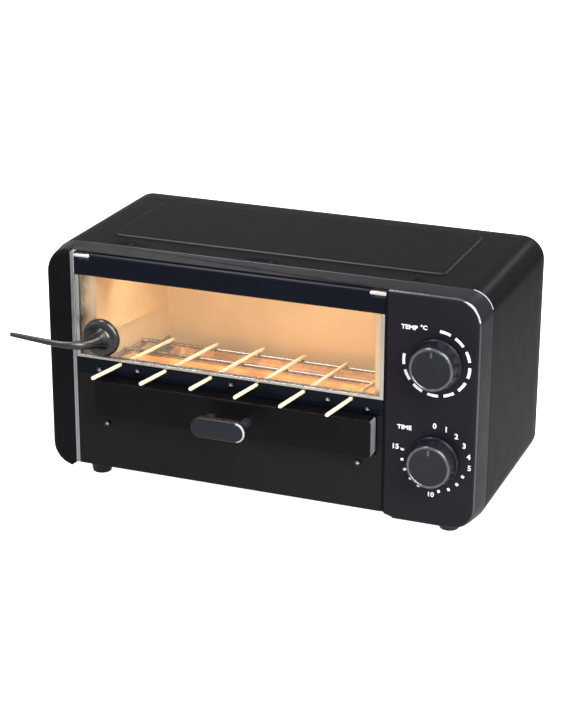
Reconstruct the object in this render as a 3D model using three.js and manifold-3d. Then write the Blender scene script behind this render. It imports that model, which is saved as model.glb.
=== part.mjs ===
// Electric yakitori grill: a steel body with a lift-up glass window, a drip drawer under it,
// a rail that six bamboo skewers lie on, and a control panel with a heat knob and a timer knob.
// Millimetres, +Z up, the front faces -Y. The body is drawn with z = 0 at its underside and
// y = 0 at its front face, and the finished group is then set on its feet and centred.
import * as THREE from 'three';
import Module from 'manifold-3d';
import { mergeVertices } from 'three/addons/utils/BufferGeometryUtils.js';

const wasm = await Module();
wasm.setup();

// Body, and the clearance and cut length that every piece shares
const bodyWidth = 350;
const bodyHeight = 181;
const bodyDepth = 166;
const cornerRadius = 18;
const footRise = 12;
const sheet = 1;
const gap = 0.35;
const overrun = 2;

// Moulded front bezel
const bezelDepth = 21.7;
const bezelInset = 2.7;
const bezelWall = 2.6;
const bezelLip = 7;
const bezelEdge = 0.8;
const postWidth = 22.3;
const panelWidth = 72.3;
const bezelBottomShare = 0.55;
const toeRise = 5.5;
const toeRun = 14;
const toeLead = 2;
const catchWidth = 7;
const catchLength = 1.5;
const catchSetBack = 2.4;
const catchPitchShare = 0.3314;
const catchShift = 3;
const barHeight = 7;

// Plated frame behind the front, whose two flanges show beside the window
const frameThick = 1.2;
const leftFlange = 3.4;
const rightFlange = 1.5;
const flangeInset = 0.5;
const frameTopDrop = 1.4;
const windowLapLeft = 6;
const windowLapRight = 3;

// Heights of the front, from the underside up
const lowerPanelHeight = 45.6;
const drawerHeight = 30.4;
const skewerRailHeight = 11.8;
const windowRailHeight = 16.8;

// Window
const doorThick = 5;
const doorInset = 0.2;
const swingGap = 0.8;
const glassThick = 3;
const sideChannel = 3;
const bottomChannel = 2.2;
const glassGroove = 5;
const hingeNotch = 12.4;
const hingePinRadius = 1.5;
const hingePinSeat = 6;

// Lift lever on the window's lower left corner
const leverDiscRadius = 15.2;
const leverDiscDepth = 5;
const leverFromLeft = 21.6;
const leverFromBottom = 18.1;
const leverReach = 64;
const leverStandOff = 28;
const leverRise = 3.6;
const leverRootRadius = 9.5;
const leverWaistRadius = 3.7;
const leverTipRadius = 1.4;
const leverStudRadius = 2;

// Skewers and the rail they lie on
const skewerCount = 6;
const skewerPitchShare = 0.1596;
const skewerRadius = 1.5;
const skewerLength = 150;
const skewerPoint = 9;
const skewerTilt = THREE.MathUtils.degToRad(7);
const skewerReach = 46;
const skewerReachShares = [1, 0.92, 0.79, 0.89, 1.01, 1.1];
const skewerRowOffset = 4;
const skewerDrop = 0.7;
const fasciaInset = 0.4;
const fasciaSheet = 1.2;

// Wire rack inside
const rackWireRadius = 1.5;
const rackSideRadius = 1.8;
const rackWires = 3;
const rackFront = 26;
const rackLength = 74;
const rackWallGap = 2.4;
const ledgeWidth = 6;
const ledgeThick = 1.4;
const upperLedgeRise = 28;
const upperLedgeLength = 108;

// Cooking chamber liner
const chamberLeftWall = 12.35;
const chamberRightWall = 7.35;
const chamberDepth = 143;
const chamberTopDrop = 12;
const chamberBottom = 50;
const linerFlange = 5;

// Heating rods
const rodRadius = 3.5;
const rodFront = 38;
const rodPitch = 38;
const lowerRodHeight = 69;
const upperRodDrop = 16;
const holderThick = 8;
const holderHeight = 15;
const holderMargin = 10;
const holderCornerShare = 0.66;

// Drawer
const drawerLeftMargin = 19.1;
const drawerRightMargin = 5.3;
const drawerProud = 12;
const drawerWall = 2;
const drawerCorner = 3;
const drawerEdge = 1.4;
const drawerRunGap = 0.45;
const trayHeight = 8.4;
const trayMargin = 5.5;
const trayLength = 132;
const trayUpstand = 22;
const trayRise = 1.65;
const trayCorner = 6;
const runnerSheet = 1;
const runnerLap = 22;
const runnerHeight = 10;

// Drawer handle
const handleWidth = 44;
const handleHeight = 16.5;
const handleThick = 6;
const handleEdge = 1.8;
const handleShift = 1;
const postPitch = 28;
const postRadius = 3.4;
const postLength = 18;
const postStud = 1.8;
const postStudLength = 3.4;

// Knobs, shafts and the two controls
const knobRadius = 19.5;
const knobFaceRadius = 15.4;
const knobHeight = 14.4;
const knobSkirt = 2;
const knobSkirtStep = 0.9;
const knobRim = 1.2;
const knobRollShare = 0.3;
const knobDish = 0.6;
const knobLift = 0.8;
const knobFromRight = 34.7;
const heatKnobShare = 0.7155;
const timerKnobShare = 0.2983;
const pointerLength = 4.6;
const pointerWidth = 1.5;
const pointerDepth = 0.5;
const shaftRadius = 3;
const shaftFlat = 0.9;
const shaftSeat = 8;
const shaftReachShare = 0.6;
const bushRadius = 4.6;
const controlWidth = 32;
const controlHeight = 36;
const controlDepth = 24;
const thermostatWidth = 25.6;
const thermostatHeight = 25.2;
const timerDepth = 31;
const controlCorner = 4;

// Raised panel pressed into the top, with its margins to the sheet's edges
const embossLeft = 36.4;
const embossRight = 43.2;
const embossFront = 22.9;
const embossBack = 17.2;
const embossRise = 1.5;
const embossSlope = 2;
const embossRadius = 6;
const wrapLap = 22;
const rearFlange = 10;

// Rear cover
const coverFlange = 6;
const ventWidth = 3;
const ventHeight = 26;
const ventPitch = 9.5;
const ventCount = 10;
const ventRowHeights = [118, 52];
const ventFromLeft = 48;
const glandRadius = 7;
const glandBore = 3.6;
const glandFlange = 2.4;
const glandFlangeThick = 1.6;
const glandFromRight = 58;
const glandHeight = 30;

// Base plate and feet
const baseFlange = 9;
const baseSlotWidth = 4;
const baseSlotLength = 60;
const baseSlotPitch = 16;
const baseSlotCount = 7;
const footRadius = 8.6;
const footFoot = 7.4;
const footBand = 3;
const footInX = 30;
const footFromBack = 22;
const footStudRadius = 2;
const footStudLength = 5;

// Screws: radius of shank and head, and how tall the head stands
const screwShank = 1.5;
const screwHead = 2.7;
const screwHeadThick = 1.5;
const screwLength = 7;
const screwSocket = 0.7;
const railScrewDrop = 5;
const railScrewPitchShare = 2.064;
const railScrewOffset = -1.4;
const railEndScrewRise = 3.6;
const railEndScrewFromEnd = 12;
const panelScrewDrop = 8.8;
const panelScrewLeft = 24.5;
const panelScrewRight = 18.8;
const coverScrewFromSide = 45;

// Faces along a quarter turn: large corners, and small round pieces
const cornerSteps = 8;
const roundSteps = 3;
const slotSteps = 2;
const slotCornerShare = 0.47;

// Places across the front, left to right
const bodyLeft = -bodyWidth / 2;
const bodyRight = bodyWidth / 2;
const postRight = bodyLeft + postWidth;
const panelLeft = bodyRight - panelWidth;
const frameLeft = postRight + gap;
const frameRight = panelLeft - gap;
const doorLeft = frameLeft + leftFlange + gap;
const doorRight = frameRight - rightFlange - gap;
const drawerLeft = doorLeft + drawerLeftMargin;
const drawerRight = doorRight - drawerRightMargin;
const chamberLeft = frameLeft + chamberLeftWall;
const chamberRight = frameRight - chamberRightWall;

// Places up the front
const frontTop = bodyHeight - bezelInset;
const lowerPanelBottom = toeRise + gap;
const lowerPanelTop = lowerPanelBottom + lowerPanelHeight;
const drawerBottom = lowerPanelTop + drawerRunGap;
const drawerTop = drawerBottom + drawerHeight;
const skewerRailBottom = drawerTop + drawerRunGap;
const skewerRailTop = skewerRailBottom + skewerRailHeight;
const windowBottom = skewerRailTop + gap;
const windowRailBottom = frontTop - windowRailHeight;
const hingeHeight = frontTop - doorThick / 2;
const chamberTop = bodyHeight - sheet - chamberTopDrop;
const upperRodHeight = chamberTop - upperRodDrop;
const frameTop = frontTop - frameTopDrop;

// Places from front to back
const doorBack = doorInset + doorThick;
const hingeDepth = doorInset + doorThick / 2;
const frameFront = doorBack + swingGap;
const frameBack = frameFront + frameThick;
const fasciaBack = frameFront - gap;
const pocketFloor = frameBack + gap;
const glassFront = doorInset + (doorThick - glassThick) / 2;
const glassBack = glassFront + glassThick;
const linerFront = frameBack + gap;
const chamberBack = linerFront + chamberDepth;
const coverBack = bodyDepth - sheet - gap;
const coverFront = coverBack - sheet;

// Places on the window, the drawer and the base
const channelWall = (doorThick - glassThick) / 2 - gap;
const glassLeft = doorLeft + channelWall + gap;
const glassRight = doorRight - channelWall - gap;
const glassBottom = windowBottom + channelWall + gap;
const leverX = doorLeft + leverFromLeft;
const leverZ = windowBottom + leverFromBottom;
const handleX = (drawerLeft + drawerRight) / 2 + handleShift;
const handleZ = (drawerBottom + drawerTop) / 2;
const drawerFace = -drawerProud;
const handleBack = drawerFace - postLength;
const trayFront = fasciaBack;
const shaftEnd = bezelWall + controlDepth * shaftReachShare;
const baseBottom = sheet + gap;
const glandX = bodyRight - glandFromRight;
const rodPlaces = [rodFront, rodFront + rodPitch];

const skewerPitch = (chamberRight - chamberLeft) * skewerPitchShare;
const skewerRowCentre = (chamberLeft + chamberRight) / 2 + skewerRowOffset;

// Skewer places: each lies along -Y, its axis dropping towards the back by the tilt
const skewerSlope = Math.tan(skewerTilt);
const skewerRest = skewerRailTop - skewerRadius / Math.cos(skewerTilt) - skewerDrop;
const skewerHeightAt = (y) => skewerRest + (hingeDepth - y) * skewerSlope;
const skewerX = (i) => skewerRowCentre + (i - (skewerCount - 1) / 2) * skewerPitch;

// Rows drawn in (first axis, second axis) and pushed along the third
const axisX = new THREE.Vector3(1, 0, 0);
const axisY = new THREE.Vector3(0, 1, 0);
const axisZ = new THREE.Vector3(0, 0, 1);
const turnToX = new THREE.Matrix4().makeBasis(axisY, axisZ, axisX);
const turnToY = new THREE.Matrix4().makeBasis(axisX, axisZ, axisY.clone().negate());

// A closed geometry as a solid that can be joined and cut
function solidOf(geometry) {
  const bare = geometry.clone();
  bare.deleteAttribute('normal');
  bare.deleteAttribute('uv');
  const merged = mergeVertices(bare);
  const corners = merged.index.array;
  const kept = [];
  for (let i = 0; i < corners.length; i += 3) {
    const [a, b, c] = [corners[i], corners[i + 1], corners[i + 2]];
    if (a !== b && b !== c && c !== a) kept.push(a, b, c);
  }
  const vertProperties = new Float32Array(merged.attributes.position.array);
  return new wasm.Manifold(new wasm.Mesh({ numProp: 3, vertProperties, triVerts: new Uint32Array(kept) }));
}

function geometryOf(solid) {
  const { vertProperties, triVerts } = solid.getMesh();
  const geometry = new THREE.BufferGeometry();
  geometry.setAttribute('position', new THREE.BufferAttribute(new Float32Array(vertProperties), 3));
  geometry.setIndex(new THREE.BufferAttribute(new Uint32Array(triVerts), 1));
  geometry.computeVertexNormals();
  return geometry;
}

// Outlines
function rectangle(a0, b0, a1, b1) {
  return new THREE.Shape([
    new THREE.Vector2(a0, b0),
    new THREE.Vector2(a1, b0),
    new THREE.Vector2(a1, b1),
    new THREE.Vector2(a0, b1),
  ]);
}

function roundedRectangle(a0, b0, a1, b1, radius) {
  const shape = new THREE.Shape();
  const quarter = Math.PI / 2;
  shape.absarc(a1 - radius, b0 + radius, radius, -quarter, 0);
  shape.absarc(a1 - radius, b1 - radius, radius, 0, quarter);
  shape.absarc(a0 + radius, b1 - radius, radius, quarter, Math.PI);
  shape.absarc(a0 + radius, b0 + radius, radius, Math.PI, 3 * quarter);
  shape.closePath();
  return shape;
}

// Outlines pushed along an axis between two places. An arc gets twice the segments named.
function push(shape, length, steps) {
  return new THREE.ExtrudeGeometry(shape, { depth: length, bevelEnabled: false, curveSegments: steps / 2 });
}

function pushX(shape, x0, x1, steps = roundSteps) {
  return solidOf(push(shape, x1 - x0, steps).applyMatrix4(turnToX).translate(x0, 0, 0));
}

function pushY(shape, y0, y1, steps = roundSteps) {
  return solidOf(push(shape, y1 - y0, steps).applyMatrix4(turnToY).translate(0, y1, 0));
}

function pushZ(shape, z0, z1, steps = roundSteps) {
  return solidOf(push(shape, z1 - z0, steps).translate(0, 0, z0));
}

function block(x0, x1, y0, y1, z0, z1) {
  return pushZ(rectangle(x0, y0, x1, y1), z0, z1);
}

// A solid carried through rings of points, each anticlockwise about the way they advance
function loft(rings) {
  const count = rings[0].length;
  const index = [];
  for (let k = 0; k + 1 < rings.length; k++) {
    for (let i = 0; i < count; i++) {
      const a = k * count + i;
      const b = k * count + (i + 1) % count;
      index.push(a, b, a + count, b, b + count, a + count);
    }
  }
  const last = (rings.length - 1) * count;
  for (let i = 1; i + 1 < count; i++) index.push(0, i + 1, i, last, last + i, last + i + 1);
  const geometry = new THREE.BufferGeometry().setFromPoints(rings.flat());
  geometry.setIndex(index);
  return solidOf(geometry);
}

// The corners of an outline, without the repeat of the first
function ringOf(shape, steps = cornerSteps) {
  return shape.getPoints(steps / 2).slice(0, -1);
}

// Rounded rectangles in the front plane, one for each depth, as loft rings
function frontRing(y, x0, x1, z0, z1, radius, steps) {
  const corners = ringOf(roundedRectangle(x0, z0, x1, z1, radius), steps).reverse();
  return corners.map((p) => new THREE.Vector3(p.x, y, p.y));
}

// A turned piece: its profile is (radius, distance along the axis), from the axis to the axis
function turned(profile, steps = roundSteps) {
  const points = profile.map(([radius, along]) => new THREE.Vector2(radius, along));
  return new THREE.LatheGeometry(points, 4 * steps);
}

function turnedX(profile, x, y, z, steps) {
  return solidOf(turned(profile, steps).rotateZ(-Math.PI / 2).translate(x, y, z));
}

function turnedY(profile, x, y, z, steps) {
  return solidOf(turned(profile, steps).translate(x, y, z));
}

function turnedZ(profile, x, y, z, steps) {
  return solidOf(turned(profile, steps).rotateX(Math.PI / 2).translate(x, y, z));
}

function rodX(radius, x0, x1, y, z, steps) {
  return turnedX([[0, 0], [radius, 0], [radius, x1 - x0], [0, x1 - x0]], x0, y, z, steps);
}

function rodY(radius, y0, y1, x, z, steps) {
  return turnedY([[0, 0], [radius, 0], [radius, y1 - y0], [0, y1 - y0]], x, y0, z, steps);
}

function rodZ(radius, z0, z1, x, y, steps) {
  return turnedZ([[0, 0], [radius, 0], [radius, z1 - z0], [0, z1 - z0]], x, y, z0, steps);
}

function joined(solids) {
  return solids.reduce((whole, piece) => whole.add(piece));
}

function cutBy(solid, tools) {
  return tools.reduce((rest, tool) => rest.subtract(tool), solid);
}

// Finishes
const finish = (color, roughness, metalness) => ({ color, roughness, metalness });
const blackSteel = finish(0x17181a, 0.45, 0.35);
const blackPlastic = finish(0x1b1c20, 0.5, 0);
const navyEnamel = finish(0x1a1f2b, 0.25, 0.2);
const platedSteel = finish(0xc9ccd0, 0.3, 0.9);
const chamberSteel = finish(0xd9c6a8, 0.35, 0.8);
const galvanised = finish(0x8d9196, 0.5, 0.8);
const knobPlastic = finish(0x3a3f4b, 0.4, 0);
const leverPlastic = finish(0x3c3e40, 0.6, 0);
const clearGlass = finish(0xdfe8ea, 0.05, 0);
const bamboo = finish(0xe2cf9f, 0.7, 0);
const ceramic = finish(0xe8e2d4, 0.7, 0);
const rodSteel = finish(0x6b4a3a, 0.5, 0.6);
const rubber = finish(0x151515, 0.8, 0);
const phenolic = finish(0x2a211c, 0.6, 0);

const parts = new THREE.Group();

function add(name, solid, look) {
  const material = new THREE.MeshStandardMaterial(look);
  if (look === clearGlass) {
    material.transparent = true;
    material.opacity = 0.35;
  }
  const mesh = new THREE.Mesh(geometryOf(solid), material);
  mesh.name = name;
  parts.add(mesh);
  return mesh;
}

// A round-headed screw that points along +Y, with its head's underside at y
function screwY(x, y, z) {
  const profile = [
    [0, -screwHeadThick],
    [screwHead * Math.SQRT1_2, -screwHeadThick],
    [screwHead, -screwHeadThick / 3],
    [screwHead, 0],
    [screwShank, 0],
    [0, screwLength],
  ];
  const arm = screwHead * Math.SQRT1_2;
  const half = screwSocket / 2;
  const [y0, y1] = [y - overrun * 2, y - screwHeadThick / 2];
  const cross = joined([
    block(x - arm, x + arm, y0, y1, z - half, z + half),
    block(x - half, x + half, y0, y1, z - arm, z + arm),
  ]);
  return turnedY(profile, x, y, z).subtract(cross);
}

const screwHole = (x, z, y0, y1) => rodY(screwShank + gap, y0 - overrun, y1 + overrun, x, z);

// Steel wrap: top, sides and the two lips rolled under, with the panel pressed into its top
function bodyShape(inset) {
  const radius = cornerRadius - inset;
  return roundedRectangle(bodyLeft + inset, inset, bodyRight - inset, bodyHeight - inset, radius);
}

function embossLoft(drop) {
  const x0 = bodyLeft + embossLeft;
  const x1 = bodyRight - embossRight;
  const y0 = bezelDepth + embossFront;
  const y1 = bodyDepth - embossBack;
  const ring = (z, inset) => {
    const outline = roundedRectangle(x0 + inset, y0 + inset, x1 - inset, y1 - inset, embossRadius);
    return ringOf(outline, roundSteps + 1).map((p) => new THREE.Vector3(p.x, p.y, z));
  };
  const [low, rim, top] = [bodyHeight - sheet - overrun, bodyHeight - drop, bodyHeight + embossRise - drop];
  return loft([ring(low, drop), ring(rim, drop), ring(top, embossSlope + drop)]);
}

function outerWrap() {
  const lipEnd = bodyWidth / 2 - cornerRadius - wrapLap;
  const openBelow = block(-lipEnd, lipEnd, 0, bodyDepth + overrun, -overrun, sheet + overrun);
  const inside = pushY(bodyShape(sheet), 0, bodyDepth - sheet, cornerSteps);
  const rearOpening = pushY(bodyShape(rearFlange), 0, bodyDepth + overrun, cornerSteps);
  const holes = coverScrews().map(([x, z]) => screwHole(x, z, coverFront, bodyDepth));
  const studs = Object.values(footPlaces()).map(([x, y]) => footStudHole(x, y));
  const catches = catchPlaces().map((x) => catchBlock(x, gap, -overrun, overrun));
  const over = block(bodyLeft, bodyRight, 0, bodyDepth, bodyHeight - sheet, bodyHeight + overrun);
  const raised = embossLoft(0).intersect(over);
  const tube = cutBy(pushY(bodyShape(0), bezelDepth + gap, bodyDepth, cornerSteps), [inside, rearOpening]);
  return cutBy(tube.add(raised), [embossLoft(sheet), openBelow, ...catches, ...holes, ...studs]);
}

// Three catches on the bezel's lip that snap into slots near the wrap's front edge
function catchPlaces() {
  return [-1, 0, 1].map((side) => catchShift + side * catchPitchShare * bodyWidth);
}

function catchBlock(x, around, low, high) {
  const y0 = bezelDepth + catchSetBack;
  const [half, z] = [catchWidth / 2 + around, bodyHeight - sheet];
  return block(x - half, x + half, y0 - around, y0 + catchLength + around, z + low, z + sheet + high);
}

// Bezel: a moulded frame with slanted sides, a hollow back, a pocket for the window and
// panels, a toe recess along its underside and a lip that slides into the wrap
function bezelBody(inset, front) {
  const slant = bezelInset;
  const ring = (y, extra) => frontRing(
    y,
    bodyLeft + inset + extra,
    bodyRight - inset - extra,
    inset + extra * bezelBottomShare,
    bodyHeight - inset - extra,
    cornerRadius - inset,
  );
  const back = bezelDepth + inset * overrun;
  return loft([ring(front, slant + bezelEdge), ring(front + bezelEdge, slant), ring(back, 0)]);
}

function toeCut(around) {
  const [x0, x1] = [bodyLeft + cornerRadius - around, panelLeft - toeLead + around];
  const [top, end] = [toeRise + around, x1 + toeRun];
  const outline = new THREE.Shape();
  outline.moveTo(x0, -toeRise);
  outline.lineTo(end, -toeRise);
  outline.lineTo(end, around / 2);
  outline.bezierCurveTo(end - toeRun / 2, around / 2, x1 + toeRun / 2, top, x1, top);
  outline.lineTo(x0, top);
  outline.closePath();
  return pushY(outline, -overrun, bezelDepth + overrun, cornerSteps);
}

function bezelLipRing() {
  const ring = (inset, extra) => pushY(
    bodyShape(inset), bezelDepth - bezelWall - extra, bezelDepth + bezelLip + extra, cornerSteps,
  );
  const outer = sheet + gap;
  const low = block(bodyLeft, bodyRight, 0, bodyDepth, -overrun, cornerRadius);
  return ring(outer, 0).subtract(ring(outer + bezelWall, overrun)).subtract(low);
}

function frontBezel() {
  const outer = bezelBody(0, 0);
  const hollow = bezelBody(bezelWall, bezelWall).subtract(toeCut(bezelWall));
  const surround = block(
    postRight - bezelWall, panelLeft + bezelWall, bezelWall / 2, pocketFloor + bezelWall, toeRise, bodyHeight,
  ).intersect(outer);
  const pocket = joined([
    block(postRight, panelLeft, -overrun, pocketFloor, -overrun, frameTop + gap),
    block(postRight, panelLeft, -overrun, frameFront, -overrun, bodyHeight + overrun),
  ]);
  const opening = block(
    chamberLeft - linerFlange - gap, chamberRight + linerFlange + gap, 0, bezelDepth,
    toeRise + barHeight, chamberTop + linerFlange + gap,
  );
  const shafts = knobPlaces().map(([x, z]) => rodY(bushRadius + gap, -overrun, bezelWall + overrun, x, z));
  const catches = catchPlaces().map((x) => catchBlock(x, 0, -sheet - gap - bezelWall / 2, -gap));
  const shell = outer.subtract(hollow).add(surround).add(bezelLipRing());
  return cutBy(joined([shell, ...catches]), [pocket, opening, toeCut(0), ...shafts]);
}

// Plated frame: one pressed plate with forward flanges left and right, cut out for the
// window and the drawer, notched for the skewers and bored for the hinge pins
function skewerNotch(i, around) {
  const radius = skewerRadius + around;
  const x = skewerX(i);
  const upright = (z0, z1) => block(x - radius, x + radius, -overrun, frameBack + overrun, z0, z1);
  const slot = upright(skewerHeightAt(0), skewerRailTop + overrun);
  const run = upright(0, bodyHeight);
  const half = frameBack + overrun * 4;
  const lying = turned([[0, -half], [radius, -half], [radius, half], [0, half]])
    .rotateX(-skewerTilt)
    .translate(x, hingeDepth, skewerRest);
  return solidOf(lying).intersect(run).add(slot);
}

function skewerNotches(around) {
  return Array.from({ length: skewerCount }, (_, i) => skewerNotch(i, around));
}

function hingeBores(around) {
  const radius = hingePinRadius + around;
  const inner = hingeNotch + hingePinSeat + around;
  return [
    rodX(radius, frameLeft - overrun, doorLeft + inner, hingeDepth, hingeHeight),
    rodX(radius, doorRight - inner, frameRight + overrun, hingeDepth, hingeHeight),
  ];
}

function windowFrame() {
  const plate = block(frameLeft, frameRight, frameFront, frameBack, lowerPanelBottom, frameTop);
  const flangeTop = frontTop + frameTopDrop / 2;
  const flange = (x0, x1) => block(x0, x1, flangeInset, frameBack, lowerPanelBottom, flangeTop);
  const left = flange(frameLeft, frameLeft + leftFlange);
  const right = flange(frameRight - rightFlange, frameRight);
  const [beyondLeft, beyondRight] = [frameLeft - overrun, frameRight + overrun];
  const behind = block(beyondLeft, beyondRight, frameFront, bezelDepth, frameTop, bodyHeight);
  const windowCut = block(
    chamberLeft + windowLapLeft, chamberRight - windowLapRight, 0, bezelDepth,
    skewerRailTop, windowRailBottom - sheet,
  );
  const drawerCut = block(
    drawerLeft + drawerWall, drawerRight - drawerWall, 0, bezelDepth, drawerBottom + gap, drawerTop - gap,
  );
  const holes = [...railScrews(), ...panelScrews()].map(([x, z]) => screwHole(x, z, 0, frameBack));
  const tools = [windowCut, drawerCut, ...skewerNotches(gap), ...hingeBores(gap), ...holes];
  return cutBy(joined([plate, left, right]).subtract(behind), tools);
}

// Front panels: the skewer rail over the drawer, and the lower panel with two pillars beside it
function railScrews() {
  const middle = [-1, 0, 1].map((side) => [
    skewerRowCentre + railScrewOffset + side * railScrewPitchShare * skewerPitch,
    skewerRailTop - railScrewDrop,
  ]);
  const ends = [doorLeft + drawerLeftMargin, doorRight].map((x, i) => [
    x + (i ? -railEndScrewFromEnd : 0),
    skewerRailBottom + railEndScrewRise,
  ]);
  return [...middle, ...ends];
}

function panelScrews() {
  return [
    [doorLeft + panelScrewLeft, lowerPanelTop - panelScrewDrop],
    [doorRight - panelScrewRight, lowerPanelTop - panelScrewDrop],
  ];
}

function skewerRail() {
  const outline = new THREE.Shape([
    new THREE.Vector2(fasciaInset, skewerRailBottom),
    new THREE.Vector2(fasciaBack, skewerRailBottom),
    new THREE.Vector2(fasciaBack, skewerRailBottom + fasciaSheet),
    new THREE.Vector2(fasciaInset + fasciaSheet, skewerRailBottom + fasciaSheet),
    new THREE.Vector2(fasciaInset + fasciaSheet, skewerRailTop - fasciaSheet),
    new THREE.Vector2(fasciaBack, skewerRailTop - fasciaSheet),
    new THREE.Vector2(fasciaBack, skewerRailTop),
    new THREE.Vector2(fasciaInset, skewerRailTop),
  ]);
  const holes = railScrews().map(([x, z]) => screwHole(x, z, fasciaInset, fasciaInset + fasciaSheet));
  const ends = [doorLeft, doorRight - fasciaSheet].map((x) => block(
    x, x + fasciaSheet, fasciaInset, fasciaBack, skewerRailBottom, skewerRailTop,
  ));
  const whole = joined([pushX(outline, doorLeft, doorRight), ...ends]);
  return cutBy(whole, [...skewerNotches(gap), ...holes]);
}

function lowerPanel() {
  const top = skewerRailBottom - gap;
  const cutLeft = drawerLeft - drawerRunGap;
  const cutRight = drawerRight + drawerRunGap;
  const outline = (inset) => new THREE.Shape([
    new THREE.Vector2(doorLeft + inset, lowerPanelBottom + inset),
    new THREE.Vector2(doorRight - inset, lowerPanelBottom + inset),
    new THREE.Vector2(doorRight - inset, top - inset),
    new THREE.Vector2(cutRight + inset, top - inset),
    new THREE.Vector2(cutRight + inset, lowerPanelTop - inset),
    new THREE.Vector2(cutLeft - inset, lowerPanelTop - inset),
    new THREE.Vector2(cutLeft - inset, top - inset),
    new THREE.Vector2(doorLeft + inset, top - inset),
  ]);
  const hollow = pushY(outline(fasciaSheet), fasciaInset + fasciaSheet, fasciaBack + overrun);
  const holes = panelScrews().map(([x, z]) => screwHole(x, z, fasciaInset, fasciaInset + fasciaSheet));
  return cutBy(pushY(outline(0), fasciaInset, fasciaBack), [hollow, ...holes]);
}

// Window: a round-backed top rail on two pins, a pane, an edge channel and the lift lever
function windowRail() {
  const middle = doorThick / 2;
  const outline = new THREE.Shape();
  outline.moveTo(doorInset, windowRailBottom);
  outline.lineTo(doorBack, windowRailBottom);
  outline.absarc(hingeDepth, hingeHeight, middle, 0, Math.PI);
  outline.closePath();
  const groove = block(
    doorLeft - overrun, doorRight + overrun, glassFront - gap, glassBack + gap,
    windowRailBottom - overrun, windowRailBottom + glassGroove,
  );
  const low = hingeHeight - hingePinRadius - gap * 2;
  const notches = [
    block(doorLeft - overrun, doorLeft + hingeNotch, -overrun, doorBack + overrun, low, bodyHeight),
    block(doorRight - hingeNotch, doorRight + overrun, -overrun, doorBack + overrun, low, bodyHeight),
  ];
  const rail = pushX(outline, doorLeft, doorRight, cornerSteps);
  return cutBy(rail, [groove, ...notches, ...hingeBores(gap)]);
}

function windowGlass() {
  const top = windowRailBottom + glassGroove - gap;
  const pane = block(glassLeft, glassRight, glassFront, glassBack, glassBottom, top);
  return pane.subtract(rodY(leverStudRadius + gap, 0, doorBack + overrun, leverX, leverZ));
}

function windowChannel() {
  const top = windowRailBottom - gap;
  const whole = block(doorLeft, doorRight, doorInset, doorBack, windowBottom, top);
  const inner = block(
    doorLeft + sideChannel, doorRight - sideChannel, -overrun, doorBack + overrun,
    windowBottom + bottomChannel, top + overrun,
  );
  const groove = block(
    glassLeft - gap, glassRight + gap, glassFront - gap, glassBack + gap, glassBottom - gap, top + overrun,
  );
  return cutBy(whole, [inner, groove]);
}

function hingePin(side) {
  const inner = hingeNotch + hingePinSeat;
  if (side < 0) return rodX(hingePinRadius, frameLeft, doorLeft + inner, hingeDepth, hingeHeight);
  return rodX(hingePinRadius, doorRight - inner, frameRight, hingeDepth, hingeHeight);
}

// The lever's arm leaves the disc square to the pane, turns left and tapers to its tip
const leverRouteShares = [
  [0, 0.06, 0],
  [0.01, 0.22, 0.02],
  [0.05, 0.5, 0.08],
  [0.13, 0.78, 0.16],
  [0.27, 0.95, 0.3],
  [0.48, 1.01, 0.52],
  [0.74, 1, 0.8],
  [1, 0.97, 1],
];
const leverTaperShares = [1, 0.66, 0.32, 0.1, 0, -0.3, -0.66, -1];
const leverStations = 18;
const leverSides = 12;

// The disc's dome: shares of its radius and of its depth, from the edge to the crown
const leverDomeShares = [[1, 0.3], [0.93, 0.72], [0.7, 1]];

function leverArm() {
  const start = glassFront - gap;
  const route = new THREE.CatmullRomCurve3(leverRouteShares.map(([left, out, up]) => new THREE.Vector3(
    leverX - left * leverReach,
    start - out * leverStandOff,
    leverZ + up * leverRise,
  )));
  const frames = route.computeFrenetFrames(leverStations);
  const rings = [];
  for (let k = 0; k <= leverStations; k++) {
    const centre = route.getPoint(k / leverStations);
    const radius = leverRadiusAt(k / leverStations);
    rings.push(Array.from({ length: leverSides }, (_, i) => {
      const angle = i / leverSides * Math.PI * 2;
      return centre.clone()
        .addScaledVector(frames.normals[k], radius * Math.cos(angle))
        .addScaledVector(frames.binormals[k], radius * Math.sin(angle));
    }));
  }
  return loft(rings);
}

// Between the taper shares in a straight line: 1 is the root, 0 the waist, -1 the tip
function leverRadiusAt(t) {
  const at = t * (leverTaperShares.length - 1);
  const low = Math.min(Math.floor(at), leverTaperShares.length - 2);
  const share = THREE.MathUtils.lerp(leverTaperShares[low], leverTaperShares[low + 1], at - low);
  const end = share > 0 ? leverRootRadius : leverTipRadius;
  return THREE.MathUtils.lerp(leverWaistRadius, end, Math.abs(share));
}

function liftLever() {
  const back = glassFront - gap;
  const dome = leverDomeShares.map(([out, deep]) => [leverDiscRadius * out, -leverDiscDepth * deep]);
  const disc = turnedY([
    [0, -leverDiscDepth],
    ...dome.reverse(),
    [leverDiscRadius, 0],
    [0, 0],
  ], leverX, back, leverZ, cornerSteps - 1);
  const bore = rodY(leverStudRadius + gap, back - leverDiscDepth - overrun, back + overrun, leverX, leverZ);
  return joined([disc, leverArm()]).subtract(bore);
}

function leverScrew() {
  const length = glassBack + gap - (glassFront - gap) + leverDiscDepth;
  const back = glassBack + gap + screwHeadThick / 2;
  return turnedY([
    [0, -length],
    [leverStudRadius, -length],
    [leverStudRadius, -screwHeadThick / 2],
    [leverStudRadius * 2, -screwHeadThick / 2],
    [leverStudRadius * 2, 0],
    [0, 0],
  ], leverX, back, leverZ);
}

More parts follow.
